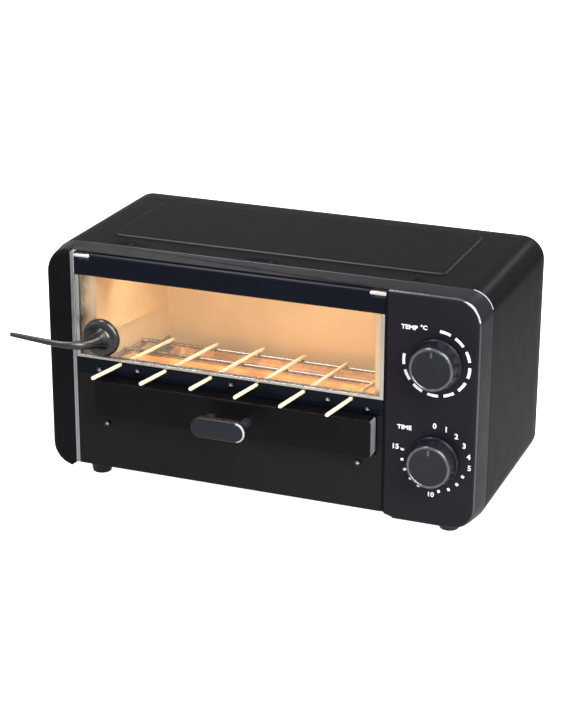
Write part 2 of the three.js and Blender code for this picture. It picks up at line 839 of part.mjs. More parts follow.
// Skewers: a plain stick with a point at its inner end
function skewer(i) {
  const reach = skewerReach * skewerReachShares[i % skewerReachShares.length];
  const stick = turned([
    [0, 0],
    [skewerRadius, 0],
    [skewerRadius, skewerLength - skewerPoint],
    [0, skewerLength],
  ], 2).translate(0, -reach / Math.cos(skewerTilt), 0).rotateX(-skewerTilt);
  return solidOf(stick.translate(skewerX(i), 0, skewerHeightAt(0)));
}

// Liner: a bent sheet box, open at the front and below, with a flange against the frame,
// two pressed ledges on each side that slope with the skewers, and holes for the rods
function ledge(side, rise, length) {
  const wall = side < 0 ? chamberLeft : chamberRight;
  const inner = wall - side * ledgeWidth;
  const [x0, x1] = side < 0 ? [wall - sheet / 2, inner] : [inner, wall + sheet / 2];
  const top = (y) => rackSideHeight(y) - (rackSideRadius + gap) / Math.cos(skewerTilt) + rise;
  const [y0, y1] = [rackFront - rackWallGap, rackFront - rackWallGap + length];
  const outline = new THREE.Shape([
    new THREE.Vector2(y0, top(y0) - ledgeThick),
    new THREE.Vector2(y1, top(y1) - ledgeThick),
    new THREE.Vector2(y1, top(y1)),
    new THREE.Vector2(y0, top(y0)),
  ]);
  return pushX(outline, x0, x1);
}

function rodHoles(radius, x0, x1) {
  const heights = [lowerRodHeight, upperRodHeight];
  return heights.flatMap((z) => rodPlaces.map((y) => rodX(radius, x0, x1, y, z)));
}

function ovenLiner() {
  const box = (inset, back) => block(
    chamberLeft - inset, chamberRight + inset, linerFront - back, chamberBack + inset,
    chamberBottom - back, chamberTop + inset,
  );
  const flange = block(
    chamberLeft - linerFlange, chamberRight + linerFlange, linerFront, linerFront + sheet, chamberBottom,
    chamberTop + linerFlange,
  );
  const holes = rodHoles(rodRadius + gap, chamberLeft - linerFlange, chamberRight + linerFlange);
  const depth = rackLength + 2 * rackWallGap;
  const ledges = [-1, 1].flatMap((side) => [
    ledge(side, 0, depth),
    ledge(side, upperLedgeRise, upperLedgeLength),
  ]);
  const flangeInside = block(
    chamberLeft, chamberRight, linerFront - overrun, linerFront + sheet + overrun,
    chamberBottom - overrun, chamberTop,
  );
  const shell = box(sheet, 0).subtract(box(0, overrun)).add(flange.subtract(flangeInside));
  return cutBy(joined([shell, ...ledges]), holes);
}

// Heating rods and the ceramic strips that hold their ends outside the liner
function heatingRod(y, z) {
  const reach = sheet + gap + holderThick - rackWallGap;
  return rodX(rodRadius, chamberLeft - reach, chamberRight + reach, y, z);
}

function rodHolder(side, z) {
  const face = side < 0 ? chamberLeft - sheet - gap : chamberRight + sheet + gap;
  const [x0, x1] = side < 0 ? [face - holderThick, face] : [face, face + holderThick];
  const [y0, y1] = [rodFront - holderMargin, rodFront + rodPitch + holderMargin];
  const half = holderHeight / 2;
  const shape = roundedRectangle(y0, z - half, y1, z + half, half * holderCornerShare);
  const bores = rodPlaces.map((y) => rodX(
    rodRadius + gap,
    side < 0 ? x0 + rackWallGap - gap : x0 - overrun,
    side < 0 ? x1 + overrun : x1 - rackWallGap + gap,
    y, z,
  ));
  return cutBy(pushX(shape, x0, x1), bores);
}

// Rack: two side wires on the ledges, and cross wires that the skewers lie on
function rackWireHeight(y) {
  return skewerHeightAt(y) - (skewerRadius + gap + rackWireRadius) / Math.cos(skewerTilt);
}

function rackSideHeight(y) {
  return rackWireHeight(y) - rackWireRadius / 2 - rackSideRadius;
}

function skewerRack() {
  const x0 = chamberLeft + rackWallGap;
  const x1 = chamberRight - rackWallGap;
  const length = rackLength / Math.cos(skewerTilt);
  const sides = [x0, x1].map((x) => solidOf(
    turned([[0, 0], [rackSideRadius, 0], [rackSideRadius, length], [0, length]], 2)
      .rotateX(-skewerTilt)
      .translate(x, rackFront, rackSideHeight(rackFront)),
  ));
  const margin = rackSideRadius * 2;
  const wires = Array.from({ length: rackWires }, (_, i) => {
    const y = rackFront + margin + (rackLength - 2 * margin) * i / (rackWires - 1);
    return rodX(rackWireRadius, x0, x1, y, rackWireHeight(y), 2);
  });
  return joined([...sides, ...wires]);
}

// Drawer: a hollow moulded front, a drip tray behind it, a handle on two posts
function drawerFront() {
  const back = trayFront - gap;
  const ring = (y, inset, radius) => frontRing(
    y, drawerLeft + inset, drawerRight - inset, drawerBottom + inset, drawerTop - inset, radius,
  );
  const outer = loft([
    ring(drawerFace, drawerEdge, drawerCorner),
    ring(drawerFace + drawerEdge * 0.3, drawerEdge * 0.3, drawerCorner),
    ring(drawerFace + drawerEdge, 0, drawerCorner),
    ring(back, 0, drawerCorner),
  ]);
  const hollow = loft([
    ring(drawerFace + drawerWall, drawerWall, drawerCorner),
    ring(back + overrun, drawerWall, drawerCorner),
  ]);
  const holes = [-1, 1].map((side) => rodY(
    postStud + gap, drawerFace - overrun, drawerFace + drawerWall + overrun, postX(side), handleZ,
  ));
  return cutBy(outer, [hollow, ...holes]);
}

function dripTray() {
  const x0 = drawerLeft + trayMargin;
  const x1 = drawerRight - trayMargin;
  const z0 = drawerBottom + trayRise;
  const y1 = trayFront + trayLength;
  const pan = (inset, up) => pushZ(
    roundedRectangle(x0 + inset, trayFront + inset, x1 - inset, y1 - inset, trayCorner - inset),
    z0 + inset, z0 + trayHeight + up, roundSteps + 1,
  );
  const upstand = block(x0 + trayCorner, x1 - trayCorner, trayFront, trayFront + sheet, z0, z0 + trayUpstand);
  return pan(0, 0).subtract(pan(sheet, overrun)).add(upstand);
}

function trayRunner(side) {
  const wall = side < 0 ? chamberLeft + gap : chamberRight - gap;
  const lap = wall - side * runnerLap;
  const top = drawerBottom + trayRise - gap;
  const [y0, y1] = [linerFront + sheet + gap, chamberBack - gap];
  const between = (a, b, z1) => block(Math.min(a, b), Math.max(a, b), y0, y1, top - runnerSheet, z1);
  const flat = between(wall, lap, top);
  const web = between(wall, wall - side * runnerSheet, top + runnerHeight);
  return flat.add(web);
}

function drawerHandle() {
  const [x0, x1] = [handleX - handleWidth / 2, handleX + handleWidth / 2];
  const [z0, z1] = [handleZ - handleHeight / 2, handleZ + handleHeight / 2];
  const ring = (y, inset) => frontRing(
    y, x0 + inset, x1 - inset, z0 + inset, z1 - inset, handleHeight / 2 - inset - gap / 2,
  );
  const face = handleBack - handleThick;
  const bar = loft([
    ring(face, handleEdge),
    ring(face + handleEdge * 0.3, handleEdge * 0.3),
    ring(face + handleEdge, 0),
    ring(handleBack - handleEdge * 0.5, 0),
    ring(handleBack, handleEdge * 0.5),
  ]);
  const bores = [-1, 1].map((side) => rodY(
    postStud + gap, handleBack - postStudLength - gap, handleBack + overrun, postX(side), handleZ,
  ));
  return cutBy(bar, bores);
}

function postX(side) {
  return handleX + side * postPitch / 2;
}

function handlePost(side) {
  return turnedY([
    [0, 0],
    [postStud, 0],
    [postStud, postStudLength + gap],
    [postRadius, postStudLength + gap],
    [postRadius, postStudLength + postLength - gap],
    [postStud, postStudLength + postLength - gap],
    [postStud, postStudLength + postLength + drawerWall + postStud],
    [0, postStudLength + postLength + drawerWall + postStud],
  ], postX(side), handleBack - postStudLength, handleZ, roundSteps + 1);
}

// Knobs with a skirt, a tapered grip, a rolled rim and a dished face with a pointer groove
function knobPlaces() {
  return [heatKnobShare, timerKnobShare].map((share) => [bodyRight - knobFromRight, share * bodyHeight]);
}

// The shaft has a flat along its length, and the knob's bore the same flat
function shaftSolid([x, z], radius, y0, y1) {
  const wide = radius + overrun;
  const level = z + radius - shaftFlat;
  const flat = block(x - wide, x + wide, y0 - overrun, y1 + overrun, level, z + wide);
  return rodY(radius, y0, y1, x, z, roundSteps + 1).subtract(flat);
}

function knob([x, z]) {
  const grip = knobRadius - knobSkirtStep;
  const face = knobHeight;
  const body = turned([
    [0, 0],
    [knobRadius, 0],
    [knobRadius, knobSkirt],
    [grip, knobSkirt + knobSkirtStep],
    [knobFaceRadius + knobRim, face - knobRim],
    [knobFaceRadius + knobRim * (1 - knobRollShare), face - knobRim * knobRollShare],
    [knobFaceRadius, face],
    [knobFaceRadius - knobRim, face - knobDish],
    [0, face - knobDish],
  ], cornerSteps).rotateX(Math.PI).rotateY(Math.PI / cornerSteps / 4).translate(x, -knobLift, z);
  const front = -knobLift - knobHeight;
  const pointerTop = z + knobFaceRadius - knobRim;
  const pointer = block(
    x - pointerWidth / 2, x + pointerWidth / 2, front - overrun, front + knobDish + pointerDepth,
    pointerTop - pointerLength, pointerTop,
  );
  const bore = shaftSolid([x, z], shaftRadius + gap, -knobLift - shaftSeat - gap, overrun);
  return cutBy(solidOf(body), [pointer, bore]);
}

function shaft(place) {
  return shaftSolid(place, shaftRadius, -knobLift - shaftSeat, shaftEnd);
}

function control([x, z], wide, high, deep) {
  const face = bezelWall + gap;
  const outline = (extra) => roundedRectangle(
    x - wide / 2, z - high / 2 - extra, x + wide / 2, z + high / 2 + extra, controlCorner,
  );
  const body = pushY(outline(0), face, face + deep);
  const ears = pushY(outline(controlCorner * 2), face, face + sheet);
  const bush = rodY(bushRadius, -gap, face + sheet, x, z);
  const bore = rodY(shaftRadius + gap, -overrun, shaftEnd + gap, x, z);
  return joined([body, ears, bush]).subtract(bore);
}

// Rear cover: a shallow pan held by four screws against the inside of the wrap's rear flange,
// with two rows of slots and a bush for the supply cord
function coverScrews() {
  const [x0, x1] = [bodyLeft + coverScrewFromSide, bodyRight - coverScrewFromSide];
  const inFlange = (rearFlange + sheet) / 2 + gap;
  return [[x0, inFlange], [x1, inFlange], [x0, bodyHeight - inFlange], [x1, bodyHeight - inFlange]];
}

function coverShape(inset) {
  const edge = sheet + gap + inset;
  const [low, radius] = [sheet + gap + edge, cornerRadius - edge];
  return roundedRectangle(bodyLeft + edge, low, bodyRight - edge, bodyHeight - edge, radius);
}

function rearCover() {
  const pan = pushY(coverShape(0), coverFront - coverFlange, coverBack, cornerSteps);
  const hollow = pushY(coverShape(sheet), coverFront - coverFlange - overrun, coverFront, cornerSteps);
  const slots = ventRowHeights.flatMap((z) => Array.from({ length: ventCount }, (_, i) => {
    const x = bodyLeft + ventFromLeft + i * ventPitch;
    const half = ventHeight / 2;
    const shape = roundedRectangle(x, z - half, x + ventWidth, z + half, ventWidth * slotCornerShare);
    return pushY(shape, coverFront - overrun, coverBack + overrun, slotSteps);
  }));
  const gland = rodY(glandRadius + gap, coverFront - overrun, coverBack + overrun, glandX, glandHeight);
  const holes = coverScrews().map(([x, z]) => screwHole(x, z, coverFront, coverBack));
  return cutBy(pan, [hollow, gland, ...slots, ...holes]);
}

function cordBush() {
  const [low, high] = [-sheet - gap - glandFlangeThick, gap];
  return turnedY([
    [glandBore, low],
    [glandRadius + glandFlange, low],
    [glandRadius + glandFlange, low + glandFlangeThick],
    [glandRadius, low + glandFlangeThick],
    [glandRadius, high],
    [glandRadius + glandFlange, high],
    [glandRadius + glandFlange * 0.6, high + glandFlangeThick],
    [glandBore, high + glandFlangeThick],
    [glandBore, low],
  ], glandX, coverBack, glandHeight, roundSteps * 2);
}

function coverScrew([x, z]) {
  const screw = new THREE.Matrix4().makeRotationZ(Math.PI);
  const geometry = geometryOf(screwY(0, 0, 0)).applyMatrix4(screw).translate(x, bodyDepth + gap, z);
  return solidOf(geometry);
}

// Base plate with upturned front edge and cooling slots, and the four feet under it
function footPlaces() {
  const [x0, x1] = [bodyLeft + footInX, bodyRight - footInX];
  const [y0, y1] = [bezelDepth + footRadius, bodyDepth - footFromBack];
  return { front_left: [x0, y0], front_right: [x1, y0], rear_left: [x0, y1], rear_right: [x1, y1] };
}

function footStudHole(x, y) {
  return rodZ(footStudRadius + gap, -overrun, baseBottom + sheet + overrun, x, y);
}

function basePlate() {
  const [x0, x1] = [bodyLeft + cornerRadius, bodyRight - cornerRadius];
  const [y0, y1] = [bezelDepth + gap, coverBack];
  const plate = block(x0, x1, y0, y1, baseBottom, baseBottom + sheet);
  const flange = block(x0, x1, y0, y0 + sheet, baseBottom, baseBottom + baseFlange);
  const slots = Array.from({ length: baseSlotCount }, (_, i) => {
    const x = (i - (baseSlotCount - 1) / 2) * baseSlotPitch;
    const [wide, long] = [baseSlotWidth / 2, baseSlotLength / 2];
    const [y0, y1] = [bodyDepth / 2 - long, bodyDepth / 2 + long];
    const shape = roundedRectangle(x - wide, y0, x + wide, y1, baseSlotWidth * slotCornerShare);
    return pushZ(shape, -overrun, baseBottom + sheet + overrun, slotSteps);
  });
  const studs = Object.values(footPlaces()).map(([x, y]) => footStudHole(x, y));
  return cutBy(plate.add(flange), [...slots, ...studs]);
}

function foot([x, y]) {
  const top = -gap;
  return turnedZ([
    [0, -footRise],
    [footFoot, -footRise],
    [footRadius, top - footBand],
    [footRadius, top],
    [footStudRadius, top],
    [footStudRadius, top + footStudLength],
    [0, top + footStudLength],
  ], x, y, 0, roundSteps + 1);
}

// The whole grill
add('outer_wrap', outerWrap(), blackSteel);
add('front_bezel', frontBezel(), blackPlastic);
add('chassis_frame', windowFrame(), platedSteel);
add('skewer_rail', skewerRail(), navyEnamel);
add('lower_panel', lowerPanel(), blackSteel);
function addScrews(name, places) {
  places.forEach(([x, z], i) => add(`${name}_${i + 1}`, screwY(x, fasciaInset - gap, z), platedSteel));
}

addScrews('rail_screw', railScrews());
addScrews('panel_screw', panelScrews());

add('window_rail', windowRail(), navyEnamel);
add('window_glass', windowGlass(), clearGlass);
add('window_channel', windowChannel(), platedSteel);
add('hinge_pin_left', hingePin(-1), platedSteel);
add('hinge_pin_right', hingePin(1), platedSteel);
add('lift_lever', liftLever(), leverPlastic);
add('lever_screw', leverScrew(), platedSteel);

for (let i = 0; i < skewerCount; i++) add(`skewer_${i + 1}`, skewer(i), bamboo);
add('oven_liner', ovenLiner(), chamberSteel);
add('skewer_rack', skewerRack(), platedSteel);
rodPlaces.forEach((y, i) => {
  add(`lower_heating_rod_${i + 1}`, heatingRod(y, lowerRodHeight), rodSteel);
  add(`upper_heating_rod_${i + 1}`, heatingRod(y, upperRodHeight), rodSteel);
});
add('lower_rod_holder_left', rodHolder(-1, lowerRodHeight), ceramic);
add('lower_rod_holder_right', rodHolder(1, lowerRodHeight), ceramic);
add('upper_rod_holder_left', rodHolder(-1, upperRodHeight), ceramic);
add('upper_rod_holder_right', rodHolder(1, upperRodHeight), ceramic);

add('drawer_front', drawerFront(), blackPlastic);
add('drip_tray', dripTray(), galvanised);
add('tray_runner_left', trayRunner(-1), galvanised);
add('tray_runner_right', trayRunner(1), galvanised);
add('drawer_handle', drawerHandle(), knobPlastic);
add('handle_post_left', handlePost(-1), platedSteel);
add('handle_post_right', handlePost(1), platedSteel);

const [heatPlace, timerPlace] = knobPlaces();
add('heat_knob', knob(heatPlace), knobPlastic);
add('timer_knob', knob(timerPlace), knobPlastic);
add('thermostat_shaft', shaft(heatPlace), platedSteel);
add('timer_shaft', shaft(timerPlace), platedSteel);
add('thermostat', control(heatPlace, thermostatWidth, thermostatHeight, controlDepth), phenolic);
add('timer_body', control(timerPlace, controlWidth, controlHeight, timerDepth), galvanised);

add('rear_cover', rearCover(), galvanised);
add('cord_bush', cordBush(), rubber);
coverScrews().forEach((place, i) => add(`cover_screw_${i + 1}`, coverScrew(place), platedSteel));
add('base_plate', basePlate(), galvanised);
Object.entries(footPlaces()).forEach(([where, place]) => add(`foot_${where}`, foot(place), rubber));

// Stand the grill on its feet, with the middle of its outline over the origin
const reach = new THREE.Box3().setFromObject(parts);
const middle = reach.getCenter(new THREE.Vector3());
parts.position.set(-middle.x, -middle.y, -reach.min.z);

const grill = new THREE.Group();
grill.add(parts);
grill.updateMatrixWorld(true);

export default grill;
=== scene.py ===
"""Electric yakitori grill: finished surfaces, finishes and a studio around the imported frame.

Every place is worked out in metres from one point, the middle of the front plane's underside,
with +X to the right, +Y to the back and +Z up, and then moved to the frame by ORIGIN.
"""
import math

import bmesh
import bpy
import numpy as np
from mathutils import Matrix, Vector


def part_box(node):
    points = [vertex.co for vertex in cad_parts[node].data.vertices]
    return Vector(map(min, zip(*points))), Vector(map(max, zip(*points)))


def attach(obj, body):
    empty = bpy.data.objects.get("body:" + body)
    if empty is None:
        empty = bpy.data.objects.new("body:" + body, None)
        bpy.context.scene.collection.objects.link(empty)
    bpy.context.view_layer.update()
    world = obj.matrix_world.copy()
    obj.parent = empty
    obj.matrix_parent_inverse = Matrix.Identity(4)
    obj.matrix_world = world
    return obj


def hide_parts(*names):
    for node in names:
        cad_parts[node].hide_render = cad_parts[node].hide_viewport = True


bl_info = {
    "name": "Electric Yakitori Grill",
    "version": (1, 0, 0),
    "blender": (4, 5, 0),
    "location": "3D View > Sidebar > Grill",
    "description": "Finished surfaces and a studio for a tabletop skewer grill",
    "category": "Add Mesh",
}

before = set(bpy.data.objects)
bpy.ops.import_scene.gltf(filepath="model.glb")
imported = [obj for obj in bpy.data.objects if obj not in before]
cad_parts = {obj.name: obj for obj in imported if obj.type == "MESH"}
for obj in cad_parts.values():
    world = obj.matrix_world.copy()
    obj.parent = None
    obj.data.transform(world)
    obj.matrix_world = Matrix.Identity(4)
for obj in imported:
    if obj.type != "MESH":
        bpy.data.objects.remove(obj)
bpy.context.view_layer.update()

BEZEL_LOW, BEZEL_HIGH = (np.array(corner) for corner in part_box("front_bezel"))
ORIGIN = np.array([(BEZEL_LOW[0] + BEZEL_HIGH[0]) / 2, BEZEL_LOW[1], BEZEL_LOW[2]])
BODY_WIDTH = BEZEL_HIGH[0] - BEZEL_LOW[0]
BODY_HEIGHT = BEZEL_HIGH[2] - BEZEL_LOW[2]
TILT = math.radians(7)
ALONG = (0, math.cos(TILT), -math.sin(TILT))  # the skewers' way in
MM = 0.001
EPSILON = 1e-6  # room for rounding, in metres
SKEWERS = ("one", "two", "three", "four", "five", "six")


def body_box(node):
    """A node's lowest and highest corner, in metres from the middle of the front's underside."""
    low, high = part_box(node)
    return np.array(low) - ORIGIN, np.array(high) - ORIGIN


def middle(node):
    """The middle of a node's box, in the same metres."""
    low, high = body_box(node)
    return (low + high) / 2


# Sizes and colours that a user would change

def length(name, default, description):
    return bpy.props.FloatProperty(
        name=name, description=description, default=default, min=0, unit="LENGTH", precision=5
    )


def colour(name, default, description):
    return bpy.props.FloatVectorProperty(
        name=name, description=description, default=default, size=3, min=0, max=1, subtype="COLOR"
    )


class GrillSizes(bpy.types.PropertyGroup):
    """Sizes of the finished surfaces."""

    sheet: length("Sheet", 0.001, "Thickness of the steel wrap")
    corner: length("Corner", 0.018, "Radius of the housing's long edges")
    front_hem: length("Front hem", 0.0013, "Radius at which the wrap turns in at the front")
    rear_roll: length("Rear roll", 0.0022, "Radius at which the wrap turns in at the back")
    rear_flange: length("Rear flange", 0.010, "Width of the wrap's flange round the back")
    wrap_lip: length("Wrap lip", 0.022, "How far the wrap runs under the housing past its corners")
    panel_left: length("Panel left", 0.0364, "Raised panel to the housing's left side")
    panel_right: length("Panel right", 0.0432, "Raised panel to the housing's right side")
    panel_front: length("Panel front", 0.0226, "Raised panel to the wrap's front edge")
    panel_back: length("Panel back", 0.0172, "Raised panel to the housing's back")
    panel_rise: length("Panel rise", 0.0015, "Height of the panel pressed into the top")
    panel_slope: length("Panel slope", 0.0026, "Width of the panel's sloping border")
    panel_corner: length("Panel corner", 0.0062, "Radius of the panel's corners in plan")
    edge: length("Edge", 0.0005, "Bevel along the edges of sheet and moulded pieces")
    knob_rim: length("Knob rim", 0.0012, "Width of the rolled rim round a knob's face")
    knob_dish: length("Knob dish", 0.0006, "How deep a knob's face lies inside its rim")
    print_thick: length("Print", 0.00012, "Thickness of the printed marks")
    dash_radius: length("Dash radius", 0.0248, "Radius of the heat scale's dashes")
    number_radius: length("Number radius", 0.0272, "Radius at which the timer's numbers stand")
    tick_radius: length("Tick radius", 0.0243, "Radius of the timer's ticks")


class GrillColours(bpy.types.PropertyGroup):
    """Colours of the finishes, as linear red, green and blue."""

    steel: colour("Black steel", (0.025, 0.0230, 0.0228), "Satin paint of the wrap and panels")
    plastic: colour("Black plastic", (0.0045, 0.0041, 0.0052), "Moulded bezel and drawer front")
    # Paler reflective colour on the rounded edges of the bezel and the wrap, a painted sheen line along them
    rim: colour("Rubbed rim", (0.090, 0.090, 0.100), "Rubbed edges round the bezel and the wrap")
    # Pale colour painted on the drawer front's ends as a highlight
    drawer_end: colour("Drawer ends", (0.155, 0.155, 0.185), "Paler ends of the drawer's front")
    enamel: colour("Navy enamel", (0.0036, 0.0046, 0.0085), "Window rail and skewer rail")
    plated: colour("Plated steel", (0.36, 0.36, 0.39), "Frame and its flanges")
    channel: colour("Channel steel", (0.52, 0.50, 0.46), "Channel round the pane")
    heated: colour("Heated steel", (0.94, 0.62, 0.36), "Frame round the hot opening")
    bright: colour("Bright steel", (0.78, 0.78, 0.80), "Hinge pins and wires")
    screw: colour("Screw steel", (0.040, 0.040, 0.046), "Blackened heads of the screws")
    post: colour("Post steel", (0.58, 0.61, 0.70), "Posts of the drawer's handle")
    chamber: colour("Chamber steel", (0.74, 0.60, 0.395), "Liner of the cooking chamber")
    zinc: colour("Galvanised", (0.42, 0.43, 0.44), "Tray, runners, rear cover and base")
    knob: colour("Knob", (0.0058, 0.0066, 0.0100), "Knobs and drawer handle")
    # Paler knob rim, a painted highlight round the knob's face; the pointers have it as their own colour
    knob_rim: colour("Knob rim", (0.110, 0.115, 0.135), "Rolled rim round a knob's face")
    # Pale colour for painted highlights: the handle's right end and the upper right corner arcs of the wrap
    # and the bezel
    worn: colour("Worn edge", (0.30, 0.31, 0.35), "Rubbed edge at the right end of the handle")
    tray: colour("Tray steel", (0.62, 0.47, 0.32), "Drip tray, tinted by the heat")
    lever: colour("Lever", (0.009, 0.0082, 0.0082), "Lift lever")
    bamboo: colour("Bamboo", (0.86, 0.755, 0.52), "Skewers")
    ceramic: colour("Ceramic", (0.80, 0.76, 0.66), "Holders of the heating rods")
    glow: colour("Glow", (1.0, 0.26, 0.045), "Light of the hot heating rods")
    print_white: colour("Print", (0.86, 0.86, 0.85), "Printed words, numbers and marks")
    rubber: colour("Rubber", (0.010, 0.010, 0.011), "Feet and cord bush")
    phenolic: colour("Phenolic", (0.020, 0.014, 0.011), "Body of the thermostat")
    glass: colour("Glass", (0.97, 0.985, 0.98), "Tint of light that passes the window's pane")


# Surfaces as grids of points

def grid_faces(rows, columns, closed):
    """Quads between neighbours of a grid numbered row by row. A closed grid also joins the last
    column to the first."""
    row = np.arange(rows - 1)[:, None] * columns
    column = np.arange(columns if closed else columns - 1)[None, :]
    after = (column + 1) % columns
    return np.stack([row + column, row + columns + column, row + columns + after, row + after], -1)


class Form:
    """Grids of points gathered into one mesh, each face with the number of its material."""

    def __init__(self):
        self.points = []
        self.faces = []
        self.looks = []
        self.count = 0

    def grid(self, points, closed=True, caps=(False, False), keep=None, look=0):
        """Adds points of shape (rows, columns, 3), with the last column joined to the first
        where the grid is closed. caps closes the first and last row with one face, keep says
        which quads stay, and look is one material number, or an array of them that fits the
        quads by rows and columns."""
        rows, columns = points.shape[:2]
        quads = grid_faces(rows, columns, closed) + self.count
        looks = np.broadcast_to(look, quads.shape[:2])
        chosen = np.ones(quads.shape[:2], bool) if keep is None else keep
        self.faces += quads[chosen].tolist()
        self.looks += looks[chosen].tolist()
        for wanted, first in zip(caps, (0, rows - 1)):
            if wanted:
                self.faces.append((self.count + first * columns + np.arange(columns)).tolist())
                self.looks.append(int(looks[0 if first == 0 else -1, 0]))
        self.points.append(points.reshape(-1, 3))
        self.count += rows * columns
        return self

    def solid(self, points, faces):
        """Adds a ready list of points and faces."""
        self.faces += [[self.count + i for i in face] for face in faces]
        self.looks += [0] * len(faces)
        self.points.append(points)
        self.count += len(points)


def filleted(corners, radii, steps=4):
    """A line of points whose inner corners give way to the parabola that leaves the line short
    of the corner by the radius and meets it as far past it."""
    corners = np.asarray(corners, float)
    share = np.linspace(0, 1, steps + 1)[:, None]
    parts = [corners[:1]]
    for before, corner, after, radius in zip(corners[:-2], corners[1:-1], corners[2:], radii):
        start = corner + (before - corner) * min(radius / np.linalg.norm(before - corner), 0.5)
        end = corner + (after - corner) * min(radius / np.linalg.norm(after - corner), 0.5)
        curve = (1 - share) ** 2 * start + 2 * share * (1 - share) * corner + share ** 2 * end
        parts.append(curve if radius else corner[None])
    parts.append(corners[-1:])
    return np.concatenate(parts)


def rounded_outline(x0, x1, z0, z1, radius, steps):
    """A closed rounded rectangle in the front plane, as (x, z) points and their outward
    normals: four quarter circles whose ends are joined by straight lines."""
    quarter = np.linspace(0, math.pi / 2, steps + 1)
    angle = np.concatenate([quarter + k * math.pi / 2 for k in range(4)])
    centre_x = np.repeat([x1 - radius, x0 + radius, x0 + radius, x1 - radius], steps + 1)
    centre_z = np.repeat([z1 - radius, z1 - radius, z0 + radius, z0 + radius], steps + 1)
    normal = np.stack([np.cos(angle), np.sin(angle)], -1)
    return np.stack([centre_x, centre_z], -1) + radius * normal, normal


def carried(outline, normal, profile):
    """A profile of (inset, y) carried round an outline in the front plane: each row is the
    outline moved in along its normals by the inset, at the depth y."""
    inset, depth = profile[:, 0][:, None], profile[:, 1][:, None]
    x = outline[None, :, 0] - inset * normal[None, :, 0]
    z = outline[None, :, 1] - inset * normal[None, :, 1]
    return np.stack([x, np.broadcast_to(depth, x.shape), z], -1)


def turned(profile, centre, axis, sides):
    """A profile of (radius, height) turned about an axis through centre: a point is the centre,
    plus the height along the axis, plus the radius times cosine and sine across it."""
    axis = np.asarray(axis, float) / np.linalg.norm(axis)
    across = np.cross(axis, [0, 0, 1.0] if abs(axis[2]) < 0.9 else [1.0, 0, 0])
    across /= np.linalg.norm(across)
    other = np.cross(axis, across)
    angle = np.linspace(0, 2 * math.pi, sides, endpoint=False)
    ring = np.cos(angle)[:, None] * across + np.sin(angle)[:, None] * other
    profile = np.asarray(profile, float)
    return centre + profile[:, 1, None, None] * axis + profile[:, 0, None, None] * ring


def tube(route, radii, sides):
    """A tube along a route: each ring stands square to the route's slope, its radius times
    cosine and sine along the two directions across it, the first of which is level."""
    slope = np.gradient(route, axis=0)
    slope /= np.linalg.norm(slope, axis=1)[:, None]
    side = np.cross(slope, (0, 0, 1.0))
    side /= np.linalg.norm(side, axis=1)[:, None]
    over = np.cross(side, slope)
    angle = np.linspace(0, 2 * math.pi, sides, endpoint=False)
    ring = side[:, None] * np.cos(angle)[None, :, None] + over[:, None] * np.sin(angle)[None, :, None]
    return route[:, None] + np.reshape(radii, (-1, 1, 1)) * ring


def spline(points, shares):
    """Points at shares of the Catmull-Rom curve through the given ones: on each span the cubic
    of the span's ends and their neighbours."""
    points = np.asarray(points, float)
    padded = np.concatenate([2 * points[:1] - points[1:2], points, 2 * points[-1:] - points[-2:-1]])
    at = shares * (len(points) - 1)
    span = np.minimum(at.astype(int), len(points) - 2)
    t = (at - span)[:, None]
    a, b, c, d = (padded[span + k] for k in range(4))
    return b + t / 2 * (c - a + t * (2 * a - 5 * b + 4 * c - d + t * (3 * (b - c) + d - a)))


def rod(radius, length_of, roll, start, axis, sides):
    """A rod from its start along an axis: the profile runs out from the axis, along the rod and
    back in, its two corners rolled, and is turned about the axis."""
    profile = filleted([(0, 0), (radius, 0), (radius, length_of), (0, length_of)], [roll, roll])
    return turned(profile, start, axis, sides)


def level_rod(node, roll, sides):
    """A rod from left to right that fills a node's box."""
    low, high = body_box(node)
    start = np.array([low[0], (low[1] + high[1]) / 2, (low[2] + high[2]) / 2])
    return rod((high[2] - low[2]) / 2, high[0] - low[0], roll, start, (1, 0, 0), sides)


# Pieces

SHARP = 35  # degrees between two faces past which their edge stays sharp
BEVEL_FROM = math.radians(38)  # turn between two faces past which their edge is rounded
BEVEL_ROOM = 0.34  # widest bevel, as a share of the shortest edge beside it
MERGED = 1e-7  # points that lie this close, in metres, become one
FLAT = math.radians(0.6)  # faces that turn by less than this are joined into one


def finish_piece(piece, looks, body, nodes, sharp):
    """Gives a piece its finishes, smooth faces with sharp edges by angle, and its body."""
    for look in looks.split():
        piece.data.materials.append(look_of(look))
    piece.data.shade_smooth()
    piece.data.set_sharp_from_angle(angle=math.radians(sharp))
    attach(piece, body)
    if nodes:
        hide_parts(*nodes)
    return piece


def object_of(name, mesh):
    """An object at the origin with this mesh, in the scene."""
    piece = bpy.data.objects.new(name, mesh)
    bpy.context.scene.collection.objects.link(piece)
    return piece


def add_form(name, form, looks, body, node=None, sharp=SHARP, closed=True):
    """Makes a form's mesh in the frame, merges its poles and seams and faces a closed one out.
    The looks are the names of its finishes, in the order of their numbers in the form."""
    mesh = bpy.data.meshes.new(name)
    mesh.from_pydata((np.concatenate(form.points) + ORIGIN).tolist(), [], form.faces)
    mesh.polygons.foreach_set("material_index", np.array(form.looks, np.int32))
    work = bmesh.new()
    work.from_mesh(mesh)
    bmesh.ops.remove_doubles(work, verts=work.verts, dist=MERGED)
    if closed:
        bmesh.ops.recalc_face_normals(work, faces=work.faces)
    work.to_mesh(mesh)
    work.free()
    return finish_piece(object_of(name, mesh), looks, body, [node] if node else [], sharp)


def read(items, key, width=1):
    """A whole attribute of a mesh's items as one array, with so many numbers for each item."""
    values = np.empty(len(items) * width, float if width == 3 else np.int32)
    items.foreach_get(key, values)
    return values.reshape(-1, width) if width > 1 else values


